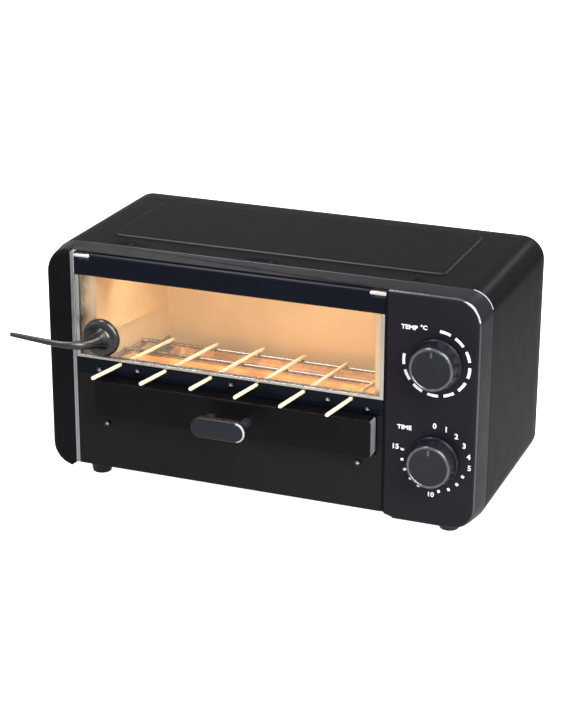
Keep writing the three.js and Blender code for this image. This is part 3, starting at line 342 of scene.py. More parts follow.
def weigh_edges(mesh, width, angle, wide=None):
    """Gives each edge that is sharper than the angle a bevel weight: the width that wide asks
    for at the edge's middle, but no more than a third of the shortest edge beside it."""
    ends = read(mesh.edges, "vertices", 2)
    points = read(mesh.vertices, "co", 3)
    lengths = np.linalg.norm(points[ends[:, 0]] - points[ends[:, 1]], axis=1)
    shortest = np.full(len(points), np.inf)
    np.minimum.at(shortest, ends, lengths[:, None])
    edge_of = read(mesh.loops, "edge_index")
    normals = np.repeat(read(mesh.polygons, "normal", 3), read(mesh.polygons, "loop_total"), axis=0)
    order = np.argsort(edge_of, kind="stable")
    first = np.searchsorted(edge_of[order], np.arange(len(ends)))
    paired = np.bincount(edge_of, minlength=len(ends)) == 2
    second = np.minimum(first + 1, len(order) - 1)
    cosine = (normals[order[first]] * normals[order[second]]).sum(1)
    wanted = np.full(len(ends), width)
    if wide:
        wanted = wide(points[ends].mean(1) - ORIGIN, wanted)
    widest = wanted.max()
    room = np.minimum(wanted, shortest[ends].min(1) * BEVEL_ROOM) / widest
    weights = np.where(paired & (cosine < math.cos(angle)), room, 0)
    mesh.attributes.new("bevel_weight_edge", "FLOAT", "EDGE").data.foreach_set("value", weights)
    return widest


def copy_of(
    node, name, looks, body, edge=None, segments=2, wide=None, refine=None, reshape=None, pick=None
):
    """A CAD node's own shape as a piece: its corners merged, flat neighbours joined into one
    face, and its edges rounded. refine may cut the merged mesh, reshape gives its points new
    places, and pick chooses each face's finish from the face's middle."""
    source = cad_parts[node].data
    corners = read(source.loops, "vertex_index")
    merged, index = np.unique(read(source.vertices, "co", 3).round(7), axis=0, return_inverse=True)
    mesh = bpy.data.meshes.new(name)
    mesh.from_pydata(merged.tolist(), [], index.reshape(-1)[corners].reshape(-1, 3).tolist())
    work = bmesh.new()
    work.from_mesh(mesh)
    bmesh.ops.dissolve_degenerate(work, edges=work.edges, dist=EPSILON)
    bmesh.ops.dissolve_limit(work, angle_limit=FLAT, verts=work.verts, edges=work.edges)
    if refine:
        refine(work)
    work.to_mesh(mesh)
    work.free()
    if reshape:
        points = read(mesh.vertices, "co", 3)
        mesh.vertices.foreach_set("co", (reshape(points - ORIGIN) + ORIGIN).ravel())
        mesh.update()
    if pick:
        chosen = pick(read(mesh.polygons, "center", 3) - ORIGIN)
        mesh.polygons.foreach_set("material_index", chosen.astype(np.int32))
    piece = finish_piece(object_of(name, mesh), looks, body, [node], SHARP)
    if edge:
        bevel = piece.modifiers.new("Edges", "BEVEL")
        bevel.width = weigh_edges(mesh, edge, BEVEL_FROM, wide)
        bevel.segments = segments
        bevel.limit_method = "WEIGHT"
        bevel.harden_normals = True
        bevel.use_clamp_overlap = False
    return piece


def dress(look, *nodes):
    """Gives CAD nodes that stay as they are a finish of their own."""
    for node in nodes:
        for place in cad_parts[node].material_slots:
            place.link = "OBJECT"
            place.material = look_of(look)


# Finishes

class Finish:
    """A Principled material whose patterns are worked out from Object coordinates."""

    def __init__(self, name, **values):
        self.material = bpy.data.materials.new(name)
        self.material.use_nodes = True
        self.tree = self.material.node_tree
        self.shader = self.tree.nodes["Principled BSDF"]
        self.place = self.node("ShaderNodeTexCoord").outputs["Object"]
        for socket, value in values.items():
            self.shader.inputs[socket.replace("_", " ")].default_value = value

    def node(self, kind, **settings):
        made = self.tree.nodes.new(kind)
        for key, value in settings.items():
            setattr(made, key, value)
        return made

    def link(self, start, end):
        self.tree.links.new(start, end)

    def stretched(self, scale):
        """Object coordinates times a scale for each axis."""
        mapping = self.node("ShaderNodeMapping")
        mapping.inputs["Scale"].default_value = scale
        self.link(self.place, mapping.inputs["Vector"])
        return mapping.outputs["Vector"]

    def noise(self, scale, detail=3.0, roughness=0.5, place=None):
        """Smooth noise in Object coordinates, or in others."""
        made = self.node("ShaderNodeTexNoise")
        made.inputs["Scale"].default_value = scale
        made.inputs["Detail"].default_value = detail
        made.inputs["Roughness"].default_value = roughness
        self.link(place or self.place, made.inputs["Vector"])
        return made.outputs["Fac"]

    def cells(self, scale, output):
        """One output of a pattern of cells."""
        made = self.node("ShaderNodeTexVoronoi")
        made.inputs["Scale"].default_value = scale
        self.link(self.place, made.inputs["Vector"])
        return made.outputs[output]

    def ramp(self, factor, *stops):
        """A colour ramp with (position, colour) stops."""
        made = self.node("ShaderNodeValToRGB")
        band = made.color_ramp
        while len(band.elements) < len(stops):
            band.elements.new(0.5)
        for element, (position, rgb) in zip(band.elements, stops):
            element.position = position
            element.color = (*rgb, 1)
        self.link(factor, made.inputs["Fac"])
        return made.outputs["Color"]

    def between(self, factor, low, high, start=0.0, end=1.0):
        """Carries a factor from start..end over to low..high."""
        made = self.node("ShaderNodeMapRange")
        for socket, value in zip(("From Min", "From Max", "To Min", "To Max"), (start, end, low, high)):
            made.inputs[socket].default_value = value
        self.link(factor, made.inputs["Value"])
        return made.outputs["Result"]

    def math(self, operation, first, second):
        """An operation on two outputs or numbers."""
        made = self.node("ShaderNodeMath", operation=operation)
        for socket, value in zip(made.inputs, (first, second)):
            if isinstance(value, (int, float)):
                socket.default_value = value
            else:
                self.link(value, socket)
        return made.outputs["Value"]

    def bump(self, height, strength, distance):
        """Lets a height tilt the surface's normal."""
        made = self.node("ShaderNodeBump")
        made.inputs["Strength"].default_value = strength
        made.inputs["Distance"].default_value = distance
        self.link(height, made.inputs["Height"])
        self.link(made.outputs["Normal"], self.shader.inputs["Normal"])

    def base(self, output):
        self.link(output, self.shader.inputs["Base Color"])

    def rough(self, output):
        self.link(output, self.shader.inputs["Roughness"])

    def clouded(self, factor, rgb, *stops):
        """The base colour by a factor: at each stop a share of the colour."""
        self.base(self.ramp(factor, *[(position, shade(rgb, share)) for position, share in stops]))


def shade(rgb, share):
    """A colour times a share, up to white."""
    return tuple(min(1.0, c * share) for c in rgb)


def painted(name, rgb, rough, depth=0.00002, metal=0.0, level=0.5):
    """Paint over metal: a faint cloudiness in colour and gloss, and the paint's orange peel."""
    look = Finish(name, Metallic=metal, Specular_IOR_Level=level, Specular_Tint=(0.3, 0.3, 0.3, 1))
    look.clouded(look.noise(16.0, 2.0), rgb, (0.3, 0.95), (0.7, 1.05))
    look.rough(look.between(look.noise(60.0), rough - 0.02, rough + 0.02, 0.3, 0.7))
    look.bump(look.noise(1400.0, 2.0), 0.2, depth)
    return look.material


def moulded(name, rgb, rough, grain=3200.0, depth=0.00003, level=0.5, metal=0.0):
    """Moulded plastic: a fine spark-eroded grain, and slow drifts of colour and gloss. A share
    of metal keeps a satin face from shining at its edges."""
    tint = 0.3 if metal else 1.0
    look = Finish(name, Metallic=metal, Specular_IOR_Level=level, Specular_Tint=(tint, tint, tint, 1))
    look.clouded(look.noise(18.0), rgb, (0.3, 0.9), (0.7, 1.12))
    look.rough(look.between(look.noise(90.0, 4.0), rough - 0.05, rough + 0.05, 0.3, 0.7))
    look.bump(look.noise(grain, 3.0, 0.7), 0.35, depth)
    return look.material


def bright_metal(name, rgb, rough):
    """Plated sheet: rolling lines upwards vary its gloss, and it is clouded a little."""
    look = Finish(name, Metallic=1.0)
    rolled = look.noise(1.0, 3.0, 0.6, look.stretched((500.0, 500.0, 10.0)))
    look.clouded(look.noise(30.0, 4.0), rgb, (0.3, 0.88), (0.7, 1.06))
    look.rough(look.between(rolled, rough - 0.04, rough + 0.06, 0.3, 0.7))
    look.bump(rolled, 0.2, 0.000003)
    return look.material


HEAT_FADES = (-0.1435, -0.1375)  # where, from the middle, the brown ends and the pale begins


def heated_metal(name, rgb, rough):
    """Plated sheet beside the fire: blotched brown by heat on the left, pale by the opening."""
    look = Finish(name, Metallic=0.9)
    split = look.node("ShaderNodeSeparateXYZ")
    look.link(look.place, split.inputs["Vector"])
    pale = look.between(split.outputs["X"], 0.0, 1.0, *(ORIGIN[0] + x for x in HEAT_FADES))
    blotch = look.between(look.noise(75.0, 3.0, 0.6), 0.0, 1.0, 0.38, 0.62)
    scorched = (rgb[0] * 0.50, rgb[1] * 0.42, rgb[2] * 0.46)
    brown = look.ramp(blotch, (0.0, scorched), (1.0, shade(rgb, 0.95)))
    mixed = look.node("ShaderNodeMix", data_type="RGBA")
    factor, first, second = (mixed.inputs[k] for k in (0, 6, 7))
    look.link(pale, factor)
    look.link(brown, first)
    second.default_value = (*rgb, 1)
    look.base(mixed.outputs[2])
    look.rough(look.between(blotch, rough - 0.04, rough + 0.08))
    return look.material


def spangled(name, rgb, rough):
    """Galvanised sheet: cells of zinc crystal, each with its own grey and gloss."""
    look = Finish(name, Metallic=0.85)
    grey = look.node("ShaderNodeRGBToBW")
    look.link(look.cells(130.0, "Color"), grey.inputs["Color"])
    look.clouded(grey.outputs["Val"], rgb, (0.2, 0.82), (0.8, 1.15))
    look.rough(look.between(grey.outputs["Val"], rough - 0.08, rough + 0.1))
    look.bump(look.noise(700.0), 0.2, 0.00002)
    return look.material


def hot_liner(name, rgb):
    """Aluminised liner seen hot: brushed across, with straw and amber heat tints in clouds."""
    look = Finish(name, Metallic=0.35)
    amber = (rgb[0] * 1.08, rgb[1] * 0.94, rgb[2] * 0.80)
    look.base(look.ramp(look.noise(9.0, 4.0, 0.55), (0.25, shade(rgb, 0.80)), (0.5, rgb), (0.75, amber)))
    brushed = look.noise(1.0, 3.0, 0.6, look.stretched((12.0, 500.0, 700.0)))
    look.rough(look.between(brushed, 0.34, 0.52, 0.3, 0.7))
    look.bump(brushed, 0.25, 0.00002)
    return look.material


def glowing_rod(name, rgb):
    """Heating rod: dark oxide that glows in soft patches, from orange to yellow."""
    look = Finish(name, Metallic=0.2, Roughness=0.55)
    oxide = look.noise(240.0, 4.0)
    look.base(look.ramp(oxide, (0.3, (0.09, 0.030, 0.012)), (0.7, (0.22, 0.085, 0.035))))
    patches = look.noise(60.0)
    hottest = (rgb[0], rgb[1] * 1.35, rgb[2] * 1.9)
    glow = look.ramp(patches, (0.2, shade(rgb, 0.75)), (0.8, hottest))
    look.link(glow, look.shader.inputs["Emission Color"])
    look.link(look.between(patches, 1.1, 1.7, 0.3, 0.7), look.shader.inputs["Emission Strength"])
    look.bump(oxide, 0.3, 0.00005)
    return look.material


def bamboo(name, rgb):
    """Bamboo: fibres along the stick, paler and darker, with a few brown flecks."""
    look = Finish(name, Roughness=0.6, Specular_IOR_Level=0.35)
    fibre = look.noise(1.0, 5.0, 0.65, look.stretched((1900.0, 36.0, 1900.0)))
    flecks = look.noise(1.0, 2.0, 0.5, look.stretched((700.0, 90.0, 700.0)))
    paler, browner = look.between(fibre, 0.0, 1.0, 0.3, 0.7), look.between(flecks, 0.55, 1.0, 0.3, 0.5)
    look.clouded(look.math("MULTIPLY", paler, browner), rgb, (0.0, 0.48), (0.45, 0.86), (1.0, 1.15))
    look.bump(fibre, 0.5, 0.00006)
    return look.material


def unglazed(name, rgb):
    """Unglazed ceramic: chalky, with small pits."""
    look = Finish(name)
    look.clouded(look.noise(60.0, 5.0), rgb, (0.3, 0.84), (0.7, 1.06))
    look.rough(look.between(look.noise(200.0), 0.68, 0.86))
    look.bump(look.cells(900.0, "Distance"), 0.3, 0.00006)
    return look.material


def bloomed_rubber(name, rgb):
    """Rubber: matt, with a dusty bloom in clouds and a fine grain."""
    look = Finish(name, Specular_IOR_Level=0.4)
    look.clouded(look.noise(80.0, 5.0), rgb, (0.35, 1.0), (0.75, 1.5))
    look.rough(look.between(look.noise(140.0), 0.32, 0.46))
    look.bump(look.noise(2600.0, 2.0), 0.4, 0.00004)
    return look.material


def phenolic(name, rgb):
    """Phenolic moulding: brown black with specks of paler filler."""
    look = Finish(name, Roughness=0.5)
    specks = look.noise(900.0, 4.0, 0.7)
    look.base(look.ramp(specks, (0.45, rgb), (0.62, (0.060, 0.043, 0.032))))
    look.bump(specks, 0.2, 0.00003)
    return look.material


def printed(name, rgb):
    """Screen print: nearly white ink, a little uneven in cover and gloss."""
    look = Finish(name)
    look.clouded(look.noise(500.0), rgb, (0.3, 0.92), (0.6, 1.0))
    look.rough(look.between(look.noise(900.0, 2.0), 0.5, 0.62))
    return look.material


def window_glass(name, rgb):
    """Window glass: clear to light, which it tints by its colour, with a faint smear in its
    gloss. The face that light meets first mirrors for both faces, and the far face lets all of
    it through."""
    look = Finish(name)
    clear = look.node("ShaderNodeBsdfTransparent")
    clear.inputs["Color"].default_value = (*rgb, 1)
    mirror = look.node("ShaderNodeBsdfGlossy")
    mirror.inputs["Color"].default_value = (1, 1, 1, 1)
    look.link(look.between(look.noise(24.0, 4.0), 0.01, 0.06, 0.35, 0.7), mirror.inputs["Roughness"])
    share = look.node("ShaderNodeFresnel")
    share.inputs["IOR"].default_value = 1.72
    near_face = look.math("SUBTRACT", 1.0, look.node("ShaderNodeNewGeometry").outputs["Backfacing"])
    mixed = look.node("ShaderNodeMixShader")
    look.link(look.math("MULTIPLY", share.outputs["Fac"], near_face), mixed.inputs["Fac"])
    look.link(clear.outputs["BSDF"], mixed.inputs[1])
    look.link(mirror.outputs["BSDF"], mixed.inputs[2])
    look.link(mixed.outputs["Shader"], look.tree.nodes["Material Output"].inputs["Surface"])
    look.tree.nodes.remove(look.shader)
    return look.material


LOOKS = {
    "black_steel": (painted, "steel", 0.44, 0.34, dict(metal=0.66, level=0.06)),
    "panel_steel": (painted, "steel", 0.72, 0.36, dict(metal=0.7, level=0.03)),
    # Paler steel that paints a highlight on the pressed panel's front and right slopes
    "pressed_edge": (painted, "steel", 1.3, 0.34, dict(metal=0.7, level=0.06)),
    # Paler reflective steel on the wrap's front roll, a painted sheen line
    "polished_steel": (painted, "rim", 0.5, 0.20, dict(depth=0.00001, metal=1.0, level=0.2)),
    "navy_enamel": (painted, "enamel", 1, 0.2, dict(depth=0.00001, level=0.2)),
    "black_plastic": (moulded, "plastic", 2.9, 0.32, dict(level=0.3, metal=0.45)),
    # Dark plastic of the drawer front, also laid as painted shade on the bezel's left pillar and the frame's
    # right flange
    "drawer_plastic": (moulded, "plastic", 0.7, 0.36, dict(level=0.08)),
    # Paler plastic, a painted highlight on the drawer front's ends
    "drawer_end": (moulded, "drawer_end", 1, 0.34, dict(level=0.3)),
    # Paler reflective plastic, a painted sheen line along the bezel's rounded front edge
    "polished_plastic": (moulded, "rim", 1, 0.22, dict(depth=0.000005, level=0.2, metal=1.0)),
    # Pale matt finish that paints highlights on edges
    "worn_edge": (moulded, "worn", 1, 0.26, dict(depth=0.00001)),
    "knob_plastic": (moulded, "knob", 1, 0.30, dict(grain=2600.0, level=0.28)),
    # Paler rim finish, a painted highlight round each knob's face, also the pointers' colour
    "knob_rim": (moulded, "knob_rim", 1, 0.22, dict(depth=0.00001, level=0.3, metal=0.8)),
    "lever_plastic": (moulded, "lever", 0.7, 0.26, dict(grain=2200.0, level=0.6)),
    "plated_steel": (bright_metal, "plated", 1, 0.26, {}),
    "channel_steel": (bright_metal, "channel", 1, 0.24, {}),
    # Bright steel of the pins and wires, also the screws' painted glint
    "pin_steel": (bright_metal, "bright", 1, 0.18, {}),
    "screw_steel": (bright_metal, "screw", 1, 0.22, {}),
    "post_steel": (bright_metal, "post", 1, 0.28, {}),
    "heated_steel": (heated_metal, "heated", 1, 0.38, {}),
    "galvanised": (spangled, "zinc", 1, 0.42, {}),
    "tray_steel": (spangled, "tray", 1, 0.42, {}),
    "chamber_steel": (hot_liner, "chamber", 1, None, {}),
    "rod_steel": (glowing_rod, "glow", 1, None, {}),
    "bamboo": (bamboo, "bamboo", 1, None, {}),
    "ceramic": (unglazed, "ceramic", 1, None, {}),
    "rubber": (bloomed_rubber, "rubber", 1, None, {}),
    "phenolic": (phenolic, "phenolic", 1, None, {}),
    "print_ink": (printed, "print_white", 1, None, {}),
    "clear_glass": (window_glass, "glass", 1, None, {}),
}
MADE = {}


def look_of(name):
    """The finish of that name, made when it is first asked for. LOOKS gives its maker, its
    colour and a share of it, its roughness where it is set, and what else the maker takes."""
    if name not in MADE:
        maker, key, share, rough, values = LOOKS[name]
        if rough is not None:
            values = dict(values, rough=rough)
        rgb = shade(getattr(bpy.context.scene.grill_colours, key), share)
        MADE[name] = maker(name, rgb, **values)
    return MADE[name]


# The wrap

SLOT_HALF = 0.0038  # half the width of a catch slot
SLOT_FRONT, SLOT_BACK = 0.0237, 0.0260
SLOT_SHIFT, SLOT_PITCH = 0.003, 0.3314  # the middle slot's place, and the pitch over the width
HEM_STEPS = 4
SLOPE_HIGHLIGHT = (0.08, 0.9)  # share of the pressed panel's rise over which its slope is painted paler, as a highlight
AT_TOP = 0.99  # share of the height past which a face is part of the top


def wrap_path(lip_end, steps=12):
    """The wrap's path across the body, from the left lip under the housing, up the left side,
    over the top and down to the right lip, as (x, z) points with their outward normals."""
    sizes = bpy.context.scene.grill_sizes
    half, radius = BODY_WIDTH / 2, sizes.corner
    quarter = np.linspace(0, math.pi / 2, steps + 1)
    flat = half - radius
    panel_low, panel_high = -half + sizes.panel_left, half - sizes.panel_right
    reach = sizes.panel_corner + sizes.panel_slope
    across = np.unique(np.concatenate([
        np.linspace(-flat, flat, 15),
        np.linspace(panel_low - MM, panel_low + reach, 12),
        np.linspace(panel_high - reach, panel_high + MM, 12),
        *[(x - SLOT_HALF, x + SLOT_HALF) for x in slot_places()],
    ]).round(6))[1:-1]
    upright = np.linspace(radius, BODY_HEIGHT - radius, 8)[1:-1]

    def corner(x, z, start):
        angle = start - quarter
        normal = np.stack([np.cos(angle), np.sin(angle)], -1)
        return np.array([x, z]) + radius * normal, normal

    def straight(points, normal):
        points = np.asarray(points, float)
        return points, np.broadcast_to(np.array(normal, float), points.shape)

    square = math.pi / 2
    runs = [
        straight([(-lip_end, 0), (-(lip_end + flat) / 2, 0)], (0, -1)),
        corner(-flat, radius, -square),
        straight(np.stack([np.full(6, -half), upright], -1), (-1, 0)),
        corner(-flat, BODY_HEIGHT - radius, 2 * square),
        straight(np.stack([across, np.full(len(across), BODY_HEIGHT)], -1), (0, 1)),
        corner(flat, BODY_HEIGHT - radius, square),
        straight(np.stack([np.full(6, half), upright[::-1]], -1), (1, 0)),
        corner(flat, radius, 0),
        straight([((lip_end + flat) / 2, 0), (lip_end, 0)], (0, -1)),
    ]
    return np.concatenate([r[0] for r in runs]), np.concatenate([r[1] for r in runs])


def slot_places():
    """The three catch slots near the wrap's front edge."""
    return [SLOT_SHIFT + side * SLOT_PITCH * BODY_WIDTH for side in (-1, 0, 1)]


def panel_height(x, y, box, sizes):
    """The pressed panel's height: from nothing at its rounded outline, a smooth step rises to
    its full height over the width of the slope, by distance inside the outline."""
    centre = np.array([(box[0] + box[1]) / 2, (box[2] + box[3]) / 2])
    half = np.array([(box[1] - box[0]) / 2, (box[3] - box[2]) / 2])
    from_corner_x = np.abs(x - centre[0]) - (half[0] - sizes.panel_corner)
    from_corner_y = np.abs(y - centre[1]) - (half[1] - sizes.panel_corner)
    outside = np.hypot(np.maximum(from_corner_x, 0), np.maximum(from_corner_y, 0))
    inside = sizes.panel_corner - outside - np.minimum(np.maximum(from_corner_x, from_corner_y), 0)
    step = np.clip(inside / sizes.panel_slope, 0, 1)
    return sizes.panel_rise * step * step * (3 - 2 * step)


def build_wrap():
    """The wrap's rows are its path moved in by each profile point's inset at that depth: a
    small roll at the front, flat along the body, then a quarter roll into the rear flange. The
    pressed panel lifts the top. The front roll has a paler reflective colour, a painted sheen
    line, with a pale painted highlight at the upper right corner, and the panel's slope along
    its front and right is painted paler, as a highlight."""
    sizes = bpy.context.scene.grill_sizes
    low, high = body_box("outer_wrap")
    front, back = low[1], high[1]
    roll = sizes.rear_roll
    lip_end = BODY_WIDTH / 2 - sizes.corner - sizes.wrap_lip
    path, normal = (part[::-1] for part in wrap_path(lip_end))
    panel = (
        -BODY_WIDTH / 2 + sizes.panel_left,
        BODY_WIDTH / 2 - sizes.panel_right,
        front + sizes.panel_front,
        back - sizes.panel_back,
    )
    reach = sizes.panel_corner + sizes.panel_slope
    along = np.unique(np.concatenate([
        [front + sizes.front_hem, SLOT_FRONT, SLOT_BACK],
        np.linspace(SLOT_BACK, panel[2] - MM, 3),
        np.linspace(panel[2] - MM, panel[2] + reach, 12),
        np.linspace(panel[2] + reach, panel[3] - reach, 6),
        np.linspace(panel[3] - reach, panel[3] + MM, 12),
        [back - roll],
    ]).round(6))
    turn = np.linspace(0, math.pi / 2, HEM_STEPS + 2)[1:]
    hem, start = sizes.front_hem, turn[:-1] - turn[0]
    profile = np.concatenate([
        np.stack([hem * (1 - np.sin(start)), front + hem * (1 - np.cos(start))], -1),
        np.stack([np.zeros(len(along)), along], -1),
        np.stack([roll * (1 - np.cos(turn)), back - roll + roll * np.sin(turn)], -1),
        [[sizes.rear_flange, back]],
    ])
    points = carried(path, normal, profile)
    top = normal[:, 1] > 0.999
    lift = panel_height(points[..., 0], points[..., 1], panel, sizes)
    points[..., 2] += np.where(top[None, :], lift, 0)
    centres = (points[:-1, :-1] + points[1:, 1:]) / 2
    x, y, on_top = centres[..., 0], centres[..., 1], centres[..., 2] > BODY_HEIGHT * AT_TOP
    in_slot = on_top & (y > SLOT_FRONT) & (y < SLOT_BACK)
    in_slot &= np.min([np.abs(x - place) for place in slot_places()], axis=0) < SLOT_HALF
    # The front roll is painted as a sheen line, and at the upper right corner as a pale painted highlight
    hemmed = (np.arange(len(profile) - 1) < HEM_STEPS)[:, None]
    painted_corner_highlight = (normal[:, 0] > 0.25) & (normal[:, 1] > 0.25)
    risen = panel_height(x, y, panel, sizes) / sizes.panel_rise
    # The slope along the panel's front and right is painted paler, as a highlight
    sloping = on_top & (risen > SLOPE_HIGHLIGHT[0]) & (risen < SLOPE_HIGHLIGHT[1])
    sloping &= (y < panel[2] + reach) | (x > panel[1] - reach)
    look = np.where(hemmed, 1 + painted_corner_highlight[None, :-1], 3 * sloping)
    piece = add_form(
        "steel_wrap", Form().grid(points, closed=False, keep=~in_slot, look=look),
        "black_steel polished_steel worn_edge pressed_edge", "housing", "outer_wrap",
        sharp=60, closed=False,
    )
    shell = piece.modifiers.new("Sheet", "SOLIDIFY")
    shell.thickness = sizes.sheet
    shell.offset = -1
    shell.use_even_offset = True


class GRILL_OT_wrap(bpy.types.Operator):
    """Adds the steel wrap with its pressed top panel, rolled rear edge and catch slots"""

    bl_idname = "grill.wrap"
    bl_label = "Steel wrap"

    def execute(self, context):
        build_wrap()
        return {"FINISHED"}


# The front

BEZEL_DEPTH = 0.0209  # depth of the bezel's sloping side
BEZEL_CHAMFER, BEZEL_INSET = 0.0008, 0.0027  # widths of the front chamfer and of that slope
BEZEL_RADIUS, BEZEL_LOW_SHARE = 0.018, 0.55  # of its corners; how far an inset counts below
BEZEL_START, BEZEL_DEEP = 0.0074, 0.0034  # the rounding's way in over the front, and back
BEZEL_LIFT = 0.0019  # how much shallower the upper slope is than the solid's
BEZEL_STRIPS = 10
BEZEL_NEAR = 0.00006  # points this close to the outline belong to the front's edge
BEZEL_SHADE_EDGE = 0.1500  # past this on the left, the bezel is painted darker, as painted shade
RIM_INSET = 0.004  # the outline that the rim with the painted sheen takes its directions from
RIM_DEPTHS = (0.0007, 0.0021, 0.0017)  # where the rim with the painted sheen starts, ends, and ends at its corner


def outward(points, inset):
    """The outward normals of the bezel's outline at an inset, and how far each point lies from
    the outline: the direction from, and the distance to, a box that the outline keeps its
    radius from. Below, the inset counts by a share."""
    low = inset * BEZEL_LOW_SHARE + BEZEL_RADIUS
    wide, high = BODY_WIDTH / 2 - inset - BEZEL_RADIUS, BODY_HEIGHT - inset - BEZEL_RADIUS
    x = np.sign(points[:, 0]) * np.maximum(np.abs(points[:, 0]) - wide, 0)
    z = points[:, 2] - np.clip(points[:, 2], low, high)
    far = np.hypot(x, z)
    normal = np.stack([x, np.zeros(len(x)), z], -1) / np.maximum(far, 1e-9)[:, None]
    normal[:, 2] *= np.where(normal[:, 2] < 0, BEZEL_LOW_SHARE, 1)
    return normal, np.abs(far - BEZEL_RADIUS)


def in_chamfer(y):
    """Whether a depth lies within the bezel's front chamfer."""
    return (y > -EPSILON) & (y < BEZEL_CHAMFER + EPSILON)


def strip_bezel(work):
    """Cuts the bezel's front chamfer into strips, and the whole bezel where its painted shade begins."""
    def crosses(edge):
        ends = [vert.co.y - ORIGIN[1] for vert in edge.verts]
        return all(in_chamfer(y) for y in ends) and abs(ends[0] - ends[1]) > BEZEL_CHAMFER / 2

    across = [edge for edge in work.edges if crosses(edge)]
    bmesh.ops.subdivide_edges(work, edges=across, cuts=BEZEL_STRIPS - 1)
    whole = work.faces[:] + work.edges[:] + work.verts[:]
    split = (ORIGIN[0] - BEZEL_SHADE_EDGE, 0, 0)
    bmesh.ops.bisect_plane(work, geom=whole, plane_co=split, plane_no=(1, 0, 0))


def round_bezel(points):
    """Lays the front chamfer's strips on the parabola that leaves the front face short of the
    corner and meets the sloping side behind it. At the top it all lies higher by the lift, so
    that the upper slope is shallow."""
    y = points[:, 1]
    inset = BEZEL_CHAMFER + BEZEL_INSET - y
    normal, off = outward(points, inset)
    share = y / BEZEL_CHAMFER
    slope = BEZEL_INSET / BEZEL_DEPTH
    corner = BEZEL_INSET + BEZEL_CHAMFER * slope
    end = corner - BEZEL_DEEP * slope
    wanted = (1 - share) ** 2 * BEZEL_START + 2 * share * (1 - share) * corner + share ** 2 * end
    moved = points + normal * (inset - wanted)[:, None]
    moved[:, 1] = share * share * BEZEL_DEEP
    moved[:, 2] += BEZEL_LIFT * np.maximum(normal[:, 2], 0)
    return np.where((in_chamfer(y) & (off < BEZEL_NEAR))[:, None], moved, points)


def bezel_looks(centres):
    """The middle of the rounded edge round the bezel's front has a paler reflective colour, a
    painted sheen line, and a pale painted highlight at the upper right corner. The pillar left of
    the window is painted darker, as painted shade."""
    normal, _ = outward(centres, RIM_INSET)
    x, y = centres[:, 0], centres[:, 1]
    start, end, corner_end = RIM_DEPTHS
    # The rim is painted as a sheen line, and its upper right corner as a pale highlight
    rim = (y > start) & (y < end) & (np.abs(normal).sum(1) > 0.3)
    corner = rim & (normal[:, 0] > 0.3) & (normal[:, 2] > 0.3) & (y < corner_end)
    # Faces left of that cut take the darker plastic, a painted shade
    return np.where(x < -BEZEL_SHADE_EDGE, 3, rim.astype(int) + corner)


FLANGE_DEPTH = 0.001  # what lies in front of this depth is a flange's front
GROOVE, GROOVE_DEPTH = (-0.15085, -0.15035), 0.0004
SHADED_FLANGE = 0.1005  # the flange to the right of this is painted dark, as painted shade
PLATE_FRONT = 0.0055  # what lies behind this depth is the frame's plate


def flange_front(centres, widths):
    """Only the front edges of the frame's flanges are rounded."""
    return np.where(centres[:, 1] < FLANGE_DEPTH, widths, 0)


def groove_flange(work):
    """Sinks a narrow groove along the front of the frame's left flange."""
    low, high = (ORIGIN[0] + x for x in GROOVE)

    def left_front(face):
        place = face.calc_center_median()
        return face.normal.y < -0.99 and place.y - ORIGIN[1] < FLANGE_DEPTH and place.x < low + 0.01

    strip = [face for face in work.faces if left_front(face)]
    for x in (low, high):
        edges = {edge for face in strip for edge in face.edges}
        verts = {vert for face in strip for vert in face.verts}
        around = strip + list(edges) + list(verts)
        cut = bmesh.ops.bisect_plane(work, geom=around, plane_co=(x, 0, 0), plane_no=(1, 0, 0))
        strip = [item for item in cut["geom"] if isinstance(item, bmesh.types.BMFace)]
    inner = [face for face in strip if low < face.calc_center_median().x < high]
    sunk = bmesh.ops.extrude_discrete_faces(work, faces=inner)["faces"]
    verts = list({vert for face in sunk for vert in face.verts})
    bmesh.ops.translate(work, verts=verts, vec=(0, GROOVE_DEPTH, 0))


def frame_looks(centres):
    """The frame's plate behind the pane, which the heat has tinted, apart from its flanges, and
    the flange on the right, painted dark as painted shade."""
    x, y = centres[:, 0], centres[:, 1]
    return np.select([(x > SHADED_FLANGE) & (y < PLATE_FRONT), y > PLATE_FRONT], [2, 1], 0)


class GRILL_OT_front(bpy.types.Operator):
    """Adds the moulded bezel, the plated frame, the notched rail and the lower panel"""

    bl_idname = "grill.front"
    bl_label = "Bezel and front panels"

    def execute(self, context):
        edge = context.scene.grill_sizes.edge
        # The bezel's fourth finish, the darker plastic, is painted shade on its left pillar
        copy_of(
            "front_bezel", "bezel", "black_plastic polished_plastic worn_edge drawer_plastic",
            "housing", refine=strip_bezel, reshape=round_bezel, pick=bezel_looks,
        )
        # The frame's third finish paints its right flange dark, as painted shade
        copy_of(
            "chassis_frame", "plated_frame", "plated_steel heated_steel drawer_plastic", "housing",
            edge * 0.6, wide=flange_front, refine=groove_flange, pick=frame_looks,
        )
        copy_of("skewer_rail", "notched_rail", "navy_enamel", "housing", edge * 0.7)
        copy_of("lower_panel", "fixed_panel", "panel_steel", "housing", edge)
        return {"FINISHED"}


HEAD_TALL = 0.0015  # height of a screw's head
CROSS = (0.15, 0.62, 0.45)  # the recess's half width and reach by the head, its depth by the height
PAINTED_GLINT = 0.30  # share of the head's radius inside which a glint is painted bright, as in the recess


